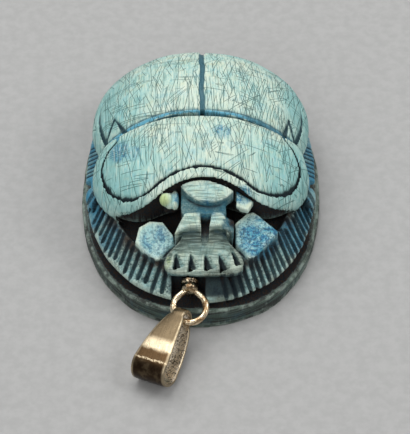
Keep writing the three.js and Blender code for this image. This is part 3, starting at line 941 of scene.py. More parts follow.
@dataclass(frozen=True)
class Head:
    """The toothed head with its crown plate, brows, eyes and cheeks, in mm."""

    centre: float = 0.3
    profile: Plan = (
        (-6, 9.2), (-7.5, 8.8), (-9.3, 8.4), (-9.7, 8.4), (-9.85, 8.8), (-11.2, 8.12), (-14.3, 6.48),
        (-15.05, 6.08), (-15.38, 5.6), (-15.1, 5.1), (-14.3, 4.9), (-13.5, 3), (-6, 3),
    )
    sides: Plan = ((2.25, -6), (2.25, -9.4), (1.95, -9.8), (3.1, -11.9), (4.2, -13.15))
    flare: Pair = (4.35, -14.0)
    front: float = -15.38
    bluntness: float = 0.7
    edge_round: float = 0.22
    # the hollows below the two arched brows
    brow_at: float = -11.12
    brow_peak: float = 1.3
    brow_spread: Pair = (1.7, 1.1)  # inside the peak and outside it
    brow_fall: float = 0.27
    brow_edge: Pair = (0.0, 0.13)
    hollow_fade: Pair = (0.3, 2.7)
    hollow_depth: float = 0.6
    # the slot down the middle, which runs a little askew and widens backwards
    slot_aside: float = 0.12
    slot_turn: float = 0.05
    slot_half: float = 0.48
    slot_taper: float = 0.1
    slot_from: float = -11.2
    slot_limits: Pair = (-1.6, 1.4)
    slot_middle: float = -11.25
    slot_half_length: float = 1.55
    slot_floor: float = 6.9
    # the chips between the teeth: rear tip, left front corner and right front corner
    chips: tuple[Plan, ...] = (
        ((-2.5, -13.15), (-2.8, -14.95), (-1.55, -14.6)),
        ((-1.05, -13.3), (-1.3, -15.1), (0.05, -14.75)),
        ((0.4, -13.3), (0.3, -15.1), (1.65, -14.75)),
        ((1.75, -13.35), (1.9, -15.15), (3.15, -14.8)),
        ((2.95, -12.85), (3.45, -14.65), (4.5, -14.3)),
    )
    chip_depth: float = 0.85
    chip_steepness: float = 2.2
    chip_edge: Pair = (-0.06, 0.06)
    # the plates beside the face
    cheeks: tuple[Plan, ...] = (
        (
            (-2.8, -10.7), (-3.9, -9.2), (-5.2, -9.1), (-6.2, -9.8), (-6.6, -11.4), (-5.8, -12.5),
            (-4.5, -13.4), (-2.6, -13),
        ),
        ((3.4, -9.4), (4.6, -8.2), (5.3, -8), (7.8, -10.3), (5.4, -13.1), (4.4, -13.5), (3.4, -13)),
    )
    cheek_at: Pair = (-9.3, 6.8)  # a place along the head, and the cheeks' level there
    cheek_slope: float = 0.22
    cheek_foot: float = 4.0
    cheek_drop: float = 0.12
    cheek_ease: Pair = (1.2, 0.2)
    cheek_round: float = 0.16
    joint_half: float = 0.16
    joint_depth: float = 0.4
    # the crown, the eyes and the temple
    crown: Crown = Crown()
    temple: Facet = Facet(
        ((1.9, -9.75), (3.35, -9.7), (3.3, -11.0), (2.7, -12.0)),
        (2.1, -10, 8.35), -0.75, 0.1, 5, 0.08,
    )
    right_eye: Facet = Facet(
        ((3.55, -6.9), (5.35, -7.95), (4.75, -9.15), (3.5, -8.75)),
        (4.2, -8.4, 8.55), -0.16, 0.2, 7.7, 0.1,
    )
    left_eye: tuple[Box, ...] = (  # the ball and the ridges beside it
        ((-3.5, -8.15, 8.85), (0.68, 0.68, 0.68)),
        ((-3.15, -8.0, 8.5), (0.55, 0.9, 0.6)),
        ((-2.6, -7.8, 8.4), (0.36, 1.1, 0.65)),
    )
    left_socket: Box = ((-3.7, -8.1, 6.8), (-2.5, -6.5, 8.0))
    right_socket: Box = ((3.6, -8.4, 7), (4.9, -6.5, 8.1))
    socket_round: float = 0.3
    # how far inner corners are rounded
    crisp: float = 0.06
    temple_blend: float = 0.03
    eye_blend: float = 0.08
    cheek_blend: float = 0.05
    # where the glaze has its own look, and where shade is painted: on the face below the brows, in the
    # chips and beside the neck
    face_top: Plan = ((-15.35, 5.95), (-14.3, 6.48), (-11.2, 8.12), (-9.85, 8.8))
    face_rear: float = -10
    face_foot: float = 5.0
    face_slack: float = 0.12
    face_edge: Pair = (-0.05, 0.1)
    neck_x: float = 0.45
    neck_across: Reach = Reach((2.15, 2.45), (6.0, 7.0))
    neck_along: Reach = Reach((-10.9, -10.3), (-7.2, -6.8))
    neck_top: Pair = (8.0, 8.4)
    off_cheeks: Pair = (-0.05, 0.1)
    ledge_x: float = 0.5
    ledge_sides: Pair = (2.65, 2.9)
    ledge_front: Pair = (-9.85, -9.65)
    ledge_level: Pair = (7.8, 8.0)
    ledge_drop: Pair = (0.1, 0.28)
    temple_across: Reach = Reach((2.05, 2.2), (3.4, 3.7))
    temple_along: Reach = Reach((-12.2, -11.9), (-9.7, -9.4))
    temple_level: Pair = (5.6, 6.0)
    temple_top: float = 8.5
    brow_cut: float = 0.05
    chip_cut: Pair = (0.02, 0.2)
    chip_dark: Pair = (0.2, 0.4)
    chip_foot: float = 5.65
    chip_walls: Pair = (0.2, 0.6)  # how much they face to the right
    chip_rear: Pair = (-13.6, -13.2)
    chip_shade: float = 0.5
    shade_fade: Pair = (1.3, 3.0)
    shade_least: float = 0.4
    filed_level: Pair = (5.2, 5.6)
    filed_edge: Pair = (-0.1, 0.15)

    def outline(self) -> Plan:
        """The face in plan, flaring to the toothed front.

        Returns:
            Its corners.
        """
        right = list(self.sides)
        for angle in np.radians(np.linspace(0, 90, 13)[:-1]):
            x = self.flare[0] * math.cos(angle) ** self.bluntness
            right.append((x, self.flare[1] + (self.front - self.flare[1]) * math.sin(angle)))
        left = [(-x, y) for x, y in reversed(right)]
        return [(x + self.centre, y) for x, y in [*right, (0, self.front), *left]]

    def below_brows(self) -> Field:
        """How far in front of the brows' two arched edges the stone lies.

        Returns:
            A plan map in mm.
        """
        off = np.abs(BLOCK.px - self.centre) - self.brow_peak
        inside, outside = self.brow_spread
        spread = np.where(off > 0, off / outside, off / inside)
        return self.brow_at - self.brow_fall * spread**2 - BLOCK.py

    def arch(self) -> Field:
        """Plan map of the two hollows carved out below the brows, 1 where they are deepest."""
        return Reach(self.brow_edge, self.hollow_fade).share(self.below_brows())

    def section(self) -> Field:
        """The side profile.

        Returns:
            Signed distance to it, as a map over y and z.
        """
        side = Block((BLOCK.low[1], BLOCK.low[2], 0), (BLOCK.high[1], BLOCK.high[2], 1), BLOCK.step)
        maps = np.meshgrid(BLOCK.py[0], BLOCK.z, indexing="ij")
        side.px, side.py = (m.astype(np.float32) for m in maps)
        return side.outline_distance(self.profile)

    def slot(self) -> Field:
        """The slot down the middle of the face.

        Returns:
            Signed distance to it.
        """
        along = BLOCK.py - self.slot_from
        middle = self.centre + self.slot_aside + self.slot_turn * along
        half = self.slot_half + self.slot_taper * np.clip(along, *self.slot_limits)
        ends = np.abs(BLOCK.py - self.slot_middle) - self.slot_half_length
        sides = np.maximum(np.abs(BLOCK.px - middle) - half, ends)
        return np.maximum(sides[:, :, None], self.slot_floor - BLOCK.z)

    def notches(self) -> Field:
        """How deep the chips between the teeth are, each deepest at its left front corner.

        Returns:
            A plan map in mm.
        """
        depth = np.zeros(BLOCK.px.shape, np.float32)
        for chip in self.chips:
            (x, y), left, right = chip
            lx, ly, rx, ry = left[0] - x, left[1] - y, right[0] - x, right[1] - y
            area = lx * ry - ly * rx
            east, north = BLOCK.px - x, BLOCK.py - y
            by_left, by_right = (east * ry - north * rx) / area, (lx * north - ly * east) / area
            down = np.maximum(by_left + by_right, 0.01)
            share = np.clip(by_left / down, 0, 1) * np.minimum(self.chip_steepness * down, 1)
            inside = ramp(-BLOCK.outline_distance(chip), *self.chip_edge)
            depth = np.maximum(depth, self.chip_depth * share * inside)
        return depth

    def eyes(self) -> list[Field]:
        """The eyes and the sockets that carry them.

        Returns:
            Signed distance to each.
        """
        return [
            *(BLOCK.egg(centre, size) for centre, size in self.left_eye),
            BLOCK.box(*self.left_socket, self.socket_round),
            self.right_eye.carve(),
            BLOCK.box(*self.right_socket, self.socket_round),
        ]

    def carve(self) -> Field:
        """Carves the head.

        Returns:
            Signed distance to it.
        """
        outline = BLOCK.outline_distance(self.outline())
        face = smooth_max(self.section()[None, :, :], outline[:, :, None], self.edge_round)
        face = face + (self.hollow_depth * self.arch())[:, :, None]
        face = smooth_max(face, -self.slot(), self.crisp)
        face = face + self.notches()[:, :, None]
        whole = smooth_min(face, self.crown.carve(), self.crisp)
        whole = smooth_min(whole, self.temple.carve(), self.temple_blend)
        for piece in self.eyes():
            whole = smooth_min(whole, piece, self.eye_blend)
        joint = np.exp(-((outline / self.joint_half) ** 2)) * self.joint_depth
        y, level = self.cheek_at
        top = level + self.cheek_slope * (BLOCK.py - y)
        for cheek in self.cheeks:
            away = BLOCK.outline_distance(cheek)
            height = top - joint - self.cheek_drop * ramp(-away, *self.cheek_ease)
            plate = BLOCK.upright(away, height, self.cheek_foot, self.cheek_round)
            whole = smooth_min(whole, plate, self.cheek_blend)
        return whole

    def off_face(self, points: Field) -> Field:
        """Signed distance in plan from points to the face's outline."""
        return BLOCK.at(BLOCK.outline_distance(self.outline()), points)

    def on_face(self, points: Field) -> Field:
        """Whether points lie in front of the crown and above the chin."""
        return (points[:, 1] < self.face_rear) & (points[:, 2] > self.face_foot)

    def below_top(self, points: Field) -> Field:
        """How far under the face's uncut top points of the face lie.

        Args:
            points: Rows of x, y, z in mm.

        Returns:
            Depths in mm, 0 off the face.
        """
        top = np.interp(points[:, 1], *zip(*self.face_top))
        inside = self.off_face(points) < self.face_slack
        return np.where(inside & self.on_face(points), np.maximum(top - points[:, 2], 0), 0)

    def sites(self, points: Field, facing: Field) -> Maps:
        """Where the glaze has its own look on the head, and where shade is painted on it.

        Args:
            points: Rows of x, y, z in mm.
            facing: The surface's direction at each, which sets the painted shade on the chips' walls
                that face right.

        Returns:
            Shares from 0 to 1, by the places' names.
        """
        x, y, z = points.T
        level = ramp(z, *self.ledge_level) * ramp(self.crown.level(y) - z, *self.ledge_drop)
        place = ramp(y, *self.ledge_front) * fall(np.abs(x - self.ledge_x), *self.ledge_sides)
        ledge = level * (place * (y < self.crown.top[1]))
        temple = self.temple_across.share(x) * self.temple_along.share(y) * (z < self.temple_top)
        off_face = self.off_face(points)
        deep = self.below_top(points)
        # painted shade on the chips' walls that face right
        walls = self.chip_shade * ramp(facing[:, 0], *self.chip_walls) * fall(y, *self.chip_rear)
        brows = BLOCK.at(self.arch(), points) * (deep > self.brow_cut)
        below = BLOCK.at(self.below_brows(), points)
        # painted shade on the face below the brows, lighter towards the teeth
        dull = 1 - (1 - self.shade_least) * ramp(below, *self.shade_fade)
        dull = ramp(below, *self.brow_edge) * dull
        filed = fall(off_face, *self.filed_edge) * ramp(z, *self.filed_level)
        chips = ramp(BLOCK.at(self.notches(), points), *self.chip_dark)
        return {
            "ledge": np.maximum(ledge, temple * ramp(z, *self.temple_level)),
            "filed": filed * (y < self.crown.top[1]),
            # painted shade in the hollows below the brows and on the chips' walls that face right
            "scoop_shade": np.maximum(brows, walls * ramp(deep, *self.chip_cut)),
            "shaded": dull * fall(off_face, *self.face_edge) * self.on_face(points),
            # notched: painted shade in the chips between the teeth, darkest where they are deepest
            "notched": chips * (z > self.chip_foot),
        }

    def shadowed(self, points: Field) -> Field:
        """Where painted shade and old grime darken the hollows beside the neck.

        Args:
            points: Rows of x, y, z in mm.

        Returns:
            Shares from 0 to 1.
        """
        x, y, z = points.T
        cheeks = np.minimum.reduce([BLOCK.outline_distance(cheek) for cheek in self.cheeks])
        beside = self.neck_across.share(np.abs(x - self.neck_x)) * self.neck_along.share(y)
        return beside * fall(z, *self.neck_top) * ramp(BLOCK.at(cheeks, points), *self.off_cheeks)


@dataclass
class Scarab:
    """The whole carved stone, which stands for the CAD node of the same name, in mm."""

    base: BasePlate = BasePlate()
    legs: Legs = Legs()
    back: Back = Back()
    head: Head = Head()
    most_triangles: int = 185000
    knee: Box = ((11.2, -4.3, 4.8), (0.65, 1.25, 0.7))
    recess: Box = ((-2.95, -19, 2.6), (0.5, -14.4, 4.95))
    bridge: Box = ((0.7, -16.5, 1.5), (2.5, -14, 3.6))  # left beside the recess
    peg_hole: Place = (-1.13, 4.35, 0.8)  # x, z and radius
    peg_hole_end: float = -12.2
    unevenness: float = 0.05
    legs_blend: float = 0.12  # how far the corners between the parts are rounded
    knee_blend: float = 0.35
    back_blend: float = 0.08
    bridge_blend: float = 0.1
    recess_round: float = 0.12
    hole_round: float = 0.1
    # places where the glaze has a look of its own
    blue: tuple[Tint, ...] = (
        Tint((-8.2, -2.2, 9.4), 1.6, 0.75), Tint((-6.9, -3.1, 10.3), 1.1, 0.6),
        Tint((2.2, -1.4, 12.0), 1.2, 0.7), Tint((11.6, -0.8, 4.2), 2.4, 1.0),
        Tint((11.3, -6.8, 4.5), 2.0, 0.8), Tint((9.6, -9.6, 4.9), 2.4, 0.7),
        Tint((-11.7, -1.8, 4.2), 1.5, 0.8), Tint((-11.3, -5.8, 4.5), 2.4, 0.8),
        Tint((-9.6, -9.6, 4.9), 2.0, 0.5), Tint((5.9, -10.9, 6.4), 2.8, 1.0),
        Tint((-4.3, -11.4, 6.4), 2.3, 0.6), Tint((4.2, -7.5, 8.9), 1.15, 1.0),
        Tint((0.6, -9.4, 8.7), 1.3, 0.8), Tint((2.6, -9.2, 8.6), 1.2, 0.8),
        Tint((-2.45, -7.95, 8.7), 0.75, 1.0), Tint((2.9, -10.6, 8.0), 0.7, 0.9),
    )
    thick: tuple[Tint, ...] = (
        Tint((-8.5, 5.0, 9.5), 4.6, 0.8), Tint((-8.0, -4.0, 9.6), 4.8, 1.0),
        Tint((8.8, -4.2, 9.0), 4.2, 0.9), Tint((10.5, 5.5, 7.5), 3.4, 0.8),
    )
    speckled: tuple[Tint, ...] = (
        Tint((5.7, -10.7, 6.4), 2.7, 1.0), Tint((-4.3, -11.4, 6.4), 2.4, 0.65),
        Tint((4.3, -7.4, 9.1), 0.9, 0.7),
    )
    yellow: tuple[Tint, ...] = (
        Tint((-3.6, -8.25, 8.95), 0.8, 1.0), Tint((-3.6, -14.2, 6.3), 0.9, 0.8),
        Tint((-1.0, -10.4, 8.6), 1.2, 0.12), Tint((1.7, -10.4, 8.6), 1.2, 0.1),
    )
    grimy: tuple[Tint, ...] = (
        Tint((1.9, -15.4, 4.6), 2.3, 1.0), Tint((-10.9, -8.5, 4.6), 1.6, 0.25),
    )
    # where grime with painted shade, wear and bare stone start and end, as levels, shares of an oval or
    # distances
    legs_foot: float = 3.0
    legs_top: Pair = (5.3, 5.8)
    legs_width: float = 3.2
    leg_shares: Pair = (0.95, 1.04)
    inner_shares: Pair = (0.83, 0.94)
    flank_middle: float = 1.5
    flank_along: Pair = (6.0, 9.0)
    flank_from: float = 9.0
    rib_foot: Pair = (3.05, 3.3)
    rib_top: float = 5.7
    rib_depths: Pair = (0.03, 0.22)
    foot_edge: Pair = (-0.5, -0.2)
    foot_top: Pair = (2.75, 3.1)
    pit_top: Pair = (5.2, 5.9)
    pit_shares: Pair = (0.79, 0.84)
    groove_levels: Reach = Reach((0.1, 0.4), (3.2, 3.45))
    groove_edge: Pair = (-0.45, -0.25)
    groove_forward: Pair = (4.0, 9.0)
    groove_least: float = 0.7
    chin_x: float = 0.6
    chin_sides: Pair = (3.2, 4.4)
    chin_rear: float = -13.0
    chin_top: Pair = (4.9, 5.3)
    chin_shares: Pair = (0.975, 1.0)
    back_foot: Pair = (5.2, 5.8)
    back_front: float = -9.2
    shield_rear: Plan = ((9.5, 3), (-9.5, 3))
    shield_edge: Pair = (0.02, 0.2)
    wall_inside: Pair = (0.08, 0.2)
    wall_reach: Pair = (0.7, 1.0)
    wall_foot: float = 5.55
    wall_rear: float = -0.6
    wall_forward: Pair = (2.5, 5.0)
    wall_least: float = 0.4
    off_head: float = 0.15
    fine_radius: float = 0.2
    coarse_radius: float = 0.75
    hollow_shares: Pair = (0.5, 0.72)  # how much stone lies round a point, within those radii
    edge_shares: Pair = (-0.49, -0.34)
    cavity_shares: Pair = (0.55, 0.76)

    def carve(self, lines: Maps, head: Field) -> Field:
        """Carves the whole stone.

        Args:
            lines: The lines carved in the back.
            head: Signed distance to the head.

        Returns:
            Signed distance to the finished stone, flat below.
        """
        stone = smooth_min(self.base.carve(), self.legs.carve(), self.legs_blend)
        (x, y, z), size = self.knee
        for side in Side:
            knee = BLOCK.egg((side.value * x, y, z), size)
            stone = smooth_min(stone, knee, self.knee_blend)
        for form in (self.back.carve(lines), head):
            stone = smooth_min(stone, form, self.back_blend)
        stone = smooth_min(stone, BLOCK.box(*self.bridge), self.bridge_blend)
        stone = smooth_max(stone, -BLOCK.box(*self.recess), self.recess_round)
        x, z, radius = self.peg_hole
        off = np.sqrt((BLOCK.px - x)[:, :, None] ** 2 + (BLOCK.z - z) ** 2) - radius
        hole = np.maximum(off, (BLOCK.py - self.peg_hole_end)[:, :, None])
        stone = smooth_max(stone, -hole, self.hole_round) + BLOCK.wobble(self.unevenness)
        return np.maximum(stone.astype(np.float32), -BLOCK.z)

    def low_sites(self, points: Field) -> Maps:
        """Where the glaze has its own look on the base and the legs.

        Args:
            points: Rows of x, y, z in mm.

        Returns:
            Shares from 0 to 1, by the places' names.
        """
        x, y, z = points.T
        off_base = BLOCK.at(self.base.oval.distance(), points)
        share = BLOCK.at(self.legs.oval.share(), points)
        on_legs = fall(z, *self.legs_top) * (off_base > -self.legs_width) * (z > self.legs_foot)
        flank = fall(np.abs(y - self.flank_middle), *self.flank_along)
        ribs = BLOCK.at(self.legs.relief(), points) * (z < self.rib_top)
        chin = fall(np.abs(x - self.chin_x), *self.chin_sides) * fall(share, *self.chin_shares)
        groove = self.groove_levels.share(z) * fall(off_base, *self.groove_edge)
        forward = ramp(-y, *self.groove_forward)
        groove = groove * (self.groove_least + (1 - self.groove_least) * forward)
        return {
            "legs": fall(share, *self.leg_shares) * on_legs,
            # inner: grime with painted shade on the legs' inner band under the body
            "inner": fall(share, *self.inner_shares) * on_legs,
            "flank": on_legs * flank * (np.abs(x) > self.flank_from),
            "ribs": ramp(ribs * ramp(z, *self.rib_foot), *self.rib_depths),
            "foot": ramp(off_base, *self.foot_edge) * fall(z, *self.foot_top),
            # chin: painted shade under the chin
            "chin": chin * (y < self.chin_rear) * fall(z, *self.chin_top),
            # cavity: painted shade and grime low under the body and in the waist groove
            "cavity": np.maximum(fall(z, *self.pit_top) * fall(share, *self.pit_shares), groove),
        }

    def back_sites(self, lines: Maps, ahead: Field, points: Field) -> Maps:
        """Where the glaze has its own look on the shield and the wing cases.

        Args:
            lines: The lines carved in the back.
            ahead: How far each point lies in front of the shield, in mm.
            points: Rows of x, y, z in mm.

        Returns:
            Shares from 0 to 1, by the places' names.
        """
        behind = BLOCK.at(lines["behind"], points) > 0
        back = ramp(points[:, 2], *self.back_foot) * (points[:, 1] > self.back_front)
        back = back * (1 - ramp(ahead, *self.shield_edge) * (points[:, 1] < 0))
        made = {"back": back, "brink": self.back.brink(points) * back}
        for name in ("bean", "rims", "seam", "band", "suture"):
            made[name] = BLOCK.at(lines[name], points) * back
        made["bean"] *= ~behind
        made["rims"] *= behind
        return made

    def wall(self, head: Field, ahead: Field, points: Field) -> Field:
        """Where painted shade and grime darken the undercut wall in front of the shield.

        Args:
            head: Signed distance to the head.
            ahead: How far each point lies in front of the shield, in mm.
            points: Rows of x, y, z in mm.

        Returns:
            Shares from 0 to 1.
        """
        inside = -BLOCK.at(self.back.thorax.carve(), points)
        wall = ramp(inside, *self.wall_inside) * fall(np.abs(ahead), *self.wall_reach)
        wall = wall * (points[:, 1] < self.wall_rear) * (points[:, 2] > self.wall_foot)
        wall = wall * (BLOCK.at(head, points) > self.off_head)
        forward = ramp(-points[:, 1], *self.wall_forward)
        return wall * (self.wall_least + (1 - self.wall_least) * forward)

    def build(self) -> Object:
        """Carves the stone, skins it and gives its points what the glaze needs to know.

        Returns:
            The Blender object, dressed.
        """
        lines = self.back.lines()
        head = self.head.carve()
        distance = self.carve(lines, head)
        stone = thinned(new_mesh("stone", *BLOCK.skin(distance)), self.most_triangles)
        points = read(stone, "co").astype(float) / MM
        solid = np.clip(0.5 - distance / BLOCK.step, 0, 1)
        fine = BLOCK.at(BLOCK.blur(solid, self.fine_radius), points)
        coarse = BLOCK.at(BLOCK.blur(solid, self.coarse_radius), points)
        shield = [*self.back.front_edge(), *self.shield_rear]
        ahead = BLOCK.at(BLOCK.outline_distance(shield), points)
        sites = {
            # hollow: how concave a place is; the glaze pools teal there, and the deepest are painted
            # near black as shade with grime
            "hollow": ramp(fine, *self.hollow_shares),
            "edge": ramp(-fine, *self.edge_shares),
            **self.low_sites(points),
            **self.back_sites(lines, ahead, points),
            **self.head.sites(points, read(stone, "normal")),
        }
        looks = {"blue": self.blue, "thick": self.thick, "grimy": self.grimy}
        looks |= {"speckled": self.speckled, "yellow": self.yellow}
        sites |= {name: tinted(points, tints) for name, tints in looks.items()}
        wall = self.wall(head, ahead, points)
        # cavity: painted shade and grime in deep hollows, on the undercut wall and beside the neck
        shut = np.maximum.reduce([ramp(coarse, *self.cavity_shares), sites["cavity"], wall])
        neck = self.head.shadowed(points) * (ahead > 0)
        sites["cavity"] = np.maximum(shut, neck)
        tell(stone, sites)
        stone.data.materials.append(GlazedSteatite().material())
        return stone


def read(shape: Object, what: str) -> Field:
    """Reads the places ("co") or the directions ("normal") of a mesh's points, as rows."""
    values = np.empty(len(shape.data.vertices) * 3, np.float32)
    shape.data.vertices.foreach_get(what, values)
    return values.reshape(-1, 3)


def tell(shape: Object, maps: Maps) -> None:
    """Stores maps on a mesh's points, where its material finds them.

    Args:
        shape: The object.
        maps: One value a point, by name.
    """
    for name, values in maps.items():
        layer = shape.data.attributes.new(name, "FLOAT", "POINT")
        layer.data.foreach_set("value", values.astype(np.float32))


def new_mesh(name: str, places: Field, faces: Field) -> Object:
    """Makes a smooth-shaded object from corner positions in mm and faces.

    Args:
        name: The object's name.
        places: Rows of x, y, z in mm.
        faces: Rows of corner numbers, all of one length.

    Returns:
        The object, linked into the scene.
    """
    mesh = bpy.data.meshes.new(name)
    sides = faces.shape[1]
    mesh.vertices.add(len(places))
    mesh.vertices.foreach_set("co", (np.asarray(places) * MM).astype(np.float32).ravel())
    mesh.loops.add(faces.size)
    mesh.loops.foreach_set("vertex_index", faces.astype(np.int32).ravel())
    mesh.polygons.add(len(faces))
    mesh.polygons.foreach_set("loop_start", np.arange(0, faces.size, sides, dtype=np.int32))
    mesh.polygons.foreach_set("use_smooth", np.ones(len(faces), bool))
    mesh.update(calc_edges=True)
    mesh.validate()
    made = bpy.data.objects.new(name, mesh)
    bpy.context.scene.collection.objects.link(made)
    return made


def thinned(shape: Object, most: int) -> Object:
    """Brings a mesh of four-sided faces down to a number of triangles.

    Args:
        shape: The object.
        most: The most triangles that it may have.

    Returns:
        The same object with a lighter mesh.
    """
    triangles = 2 * len(shape.data.polygons)
    if triangles > most:
        modifier = shape.modifiers.new("thin", "DECIMATE")
        modifier.ratio = most / triangles
        ready = shape.evaluated_get(bpy.context.evaluated_depsgraph_get())
        lighter = bpy.data.meshes.new_from_object(ready)
        shape.modifiers.clear()
        heavy, shape.data = shape.data, lighter
        bpy.data.meshes.remove(heavy)
        lighter.name = shape.name
    log.info("%s: %d triangles carved, %d kept", shape.name, triangles, len(shape.data.polygons))
    return shape


# ---- the metal ----


def full_turn(steps: int) -> Field:
    """Angles evenly round a circle."""
    return np.linspace(0, 2 * math.pi, steps + 1)[:-1]


@dataclass
class EyeRing:
    """The wire ring, whose two ends come together in a collar pegged into the stone, in mm."""

    centre: Place = (-1.13, -17.85, 3.7)
    radius: float = 1.62
    wire: float = 0.33
    tilt: float = 19.0
    opening: float = 50.0  # degrees from the top of the ring to where its two ends leave it
    steps: int = 81
    wire_sides: int = 16
    collar_sides: int = 32
    peg_z: float = 4.35
    arm: tuple[Place, ...] = ((0.45, -15.8, 4.35), (0.55, -16.3, 4.3))
    turned: Plan = (  # radii and places along y of the peg and the collar
        (0.02, -12.6), (0.45, -12.62), (0.45, -15.0), (0.7, -15.1), (0.9, -15.22), (0.9, -15.42),
        (0.72, -15.52), (0.7, -15.7), (0.84, -15.82), (0.86, -16.3), (0.75, -16.45), (0.02, -16.5),
    )

    def down(self) -> Vector:
        """Direction in the ring's plane away from the stone."""
        angle = math.radians(self.tilt)
        return Vector((0, -math.cos(angle), -math.sin(angle)))

    def build(self) -> Object:
        """Bends the wire and turns the collar.

        Returns:
            The Blender object, dressed.
        """
        centre, down, across = Vector(self.centre), self.down(), Vector((1, 0, 0))
        path = [Vector((centre.x + x, y, z)) for x, y, z in self.arm]
        for angle in np.radians(np.linspace(self.opening, 360 - self.opening, self.steps)):
            path.append(centre + self.radius * (across * math.sin(angle) - down * math.cos(angle)))
        path += [Vector((2 * centre.x - p.x, p.y, p.z)) for p in reversed(path[:2])]
        normal = across.cross(down)
        sections = []
        for i, point in enumerate(path):
            step = (path[min(i + 1, len(path) - 1)] - path[max(i - 1, 0)]).normalized()
            side = normal.cross(step)
            turn = 2 * math.pi * i / len(path)
            # thinned unevenly by wear, by up to a tenth
            wire = self.wire * (1 - 0.06 * math.cos(3 * turn + 1) - 0.03 * math.sin(7 * turn))
            turns = full_turn(self.wire_sides)
            sections.append([point + wire * (side * math.cos(t) + normal * math.sin(t)) for t in turns])
        places, faces = tube(sections, closed=False)
        turned, more = self.collar()
        faces = np.concatenate([faces, more + len(places)])
        ring = new_mesh("ring", np.concatenate([places, turned]), faces)
        ring.data.materials.append(GiltBrass().material())
        return ring

    def collar(self) -> tuple[Field, Field]:
        """Turns the collar and the peg behind it.

        Returns:
            Corner positions and rows of four corner numbers.
        """
        x, z = self.centre[0], self.peg_z
        sections = []
        for radius, y in self.turned:
            section = [
                Vector((x + radius * math.cos(t), y, z + radius * math.sin(t)))
                for t in full_turn(self.collar_sides)
            ]
            sections.append(section)
        return tube(sections, closed=False)


def tube(sections: Sequence[Sequence[Vector]], closed: bool) -> tuple[Field, Field]:
    """Skins a row of closed sections with four-sided faces.

    Args:
        sections: Each a ring of points, all of one length.
        closed: Whether the last section joins the first.

    Returns:
        Corner positions and rows of four corner numbers.
    """
    rows, width = len(sections), len(sections[0])
    places = np.array([tuple(p) for section in sections for p in section])
    last = rows if closed else rows - 1
    row, column = np.meshgrid(np.arange(last), np.arange(width), indexing="ij")
    ahead, beside = (row + 1) % rows, (column + 1) % width
    corners = ((row, column), (ahead, column), (ahead, beside), (row, beside))
    faces = np.stack([a * width + b for a, b in corners], -1)
    return places, faces.reshape(-1, 4)


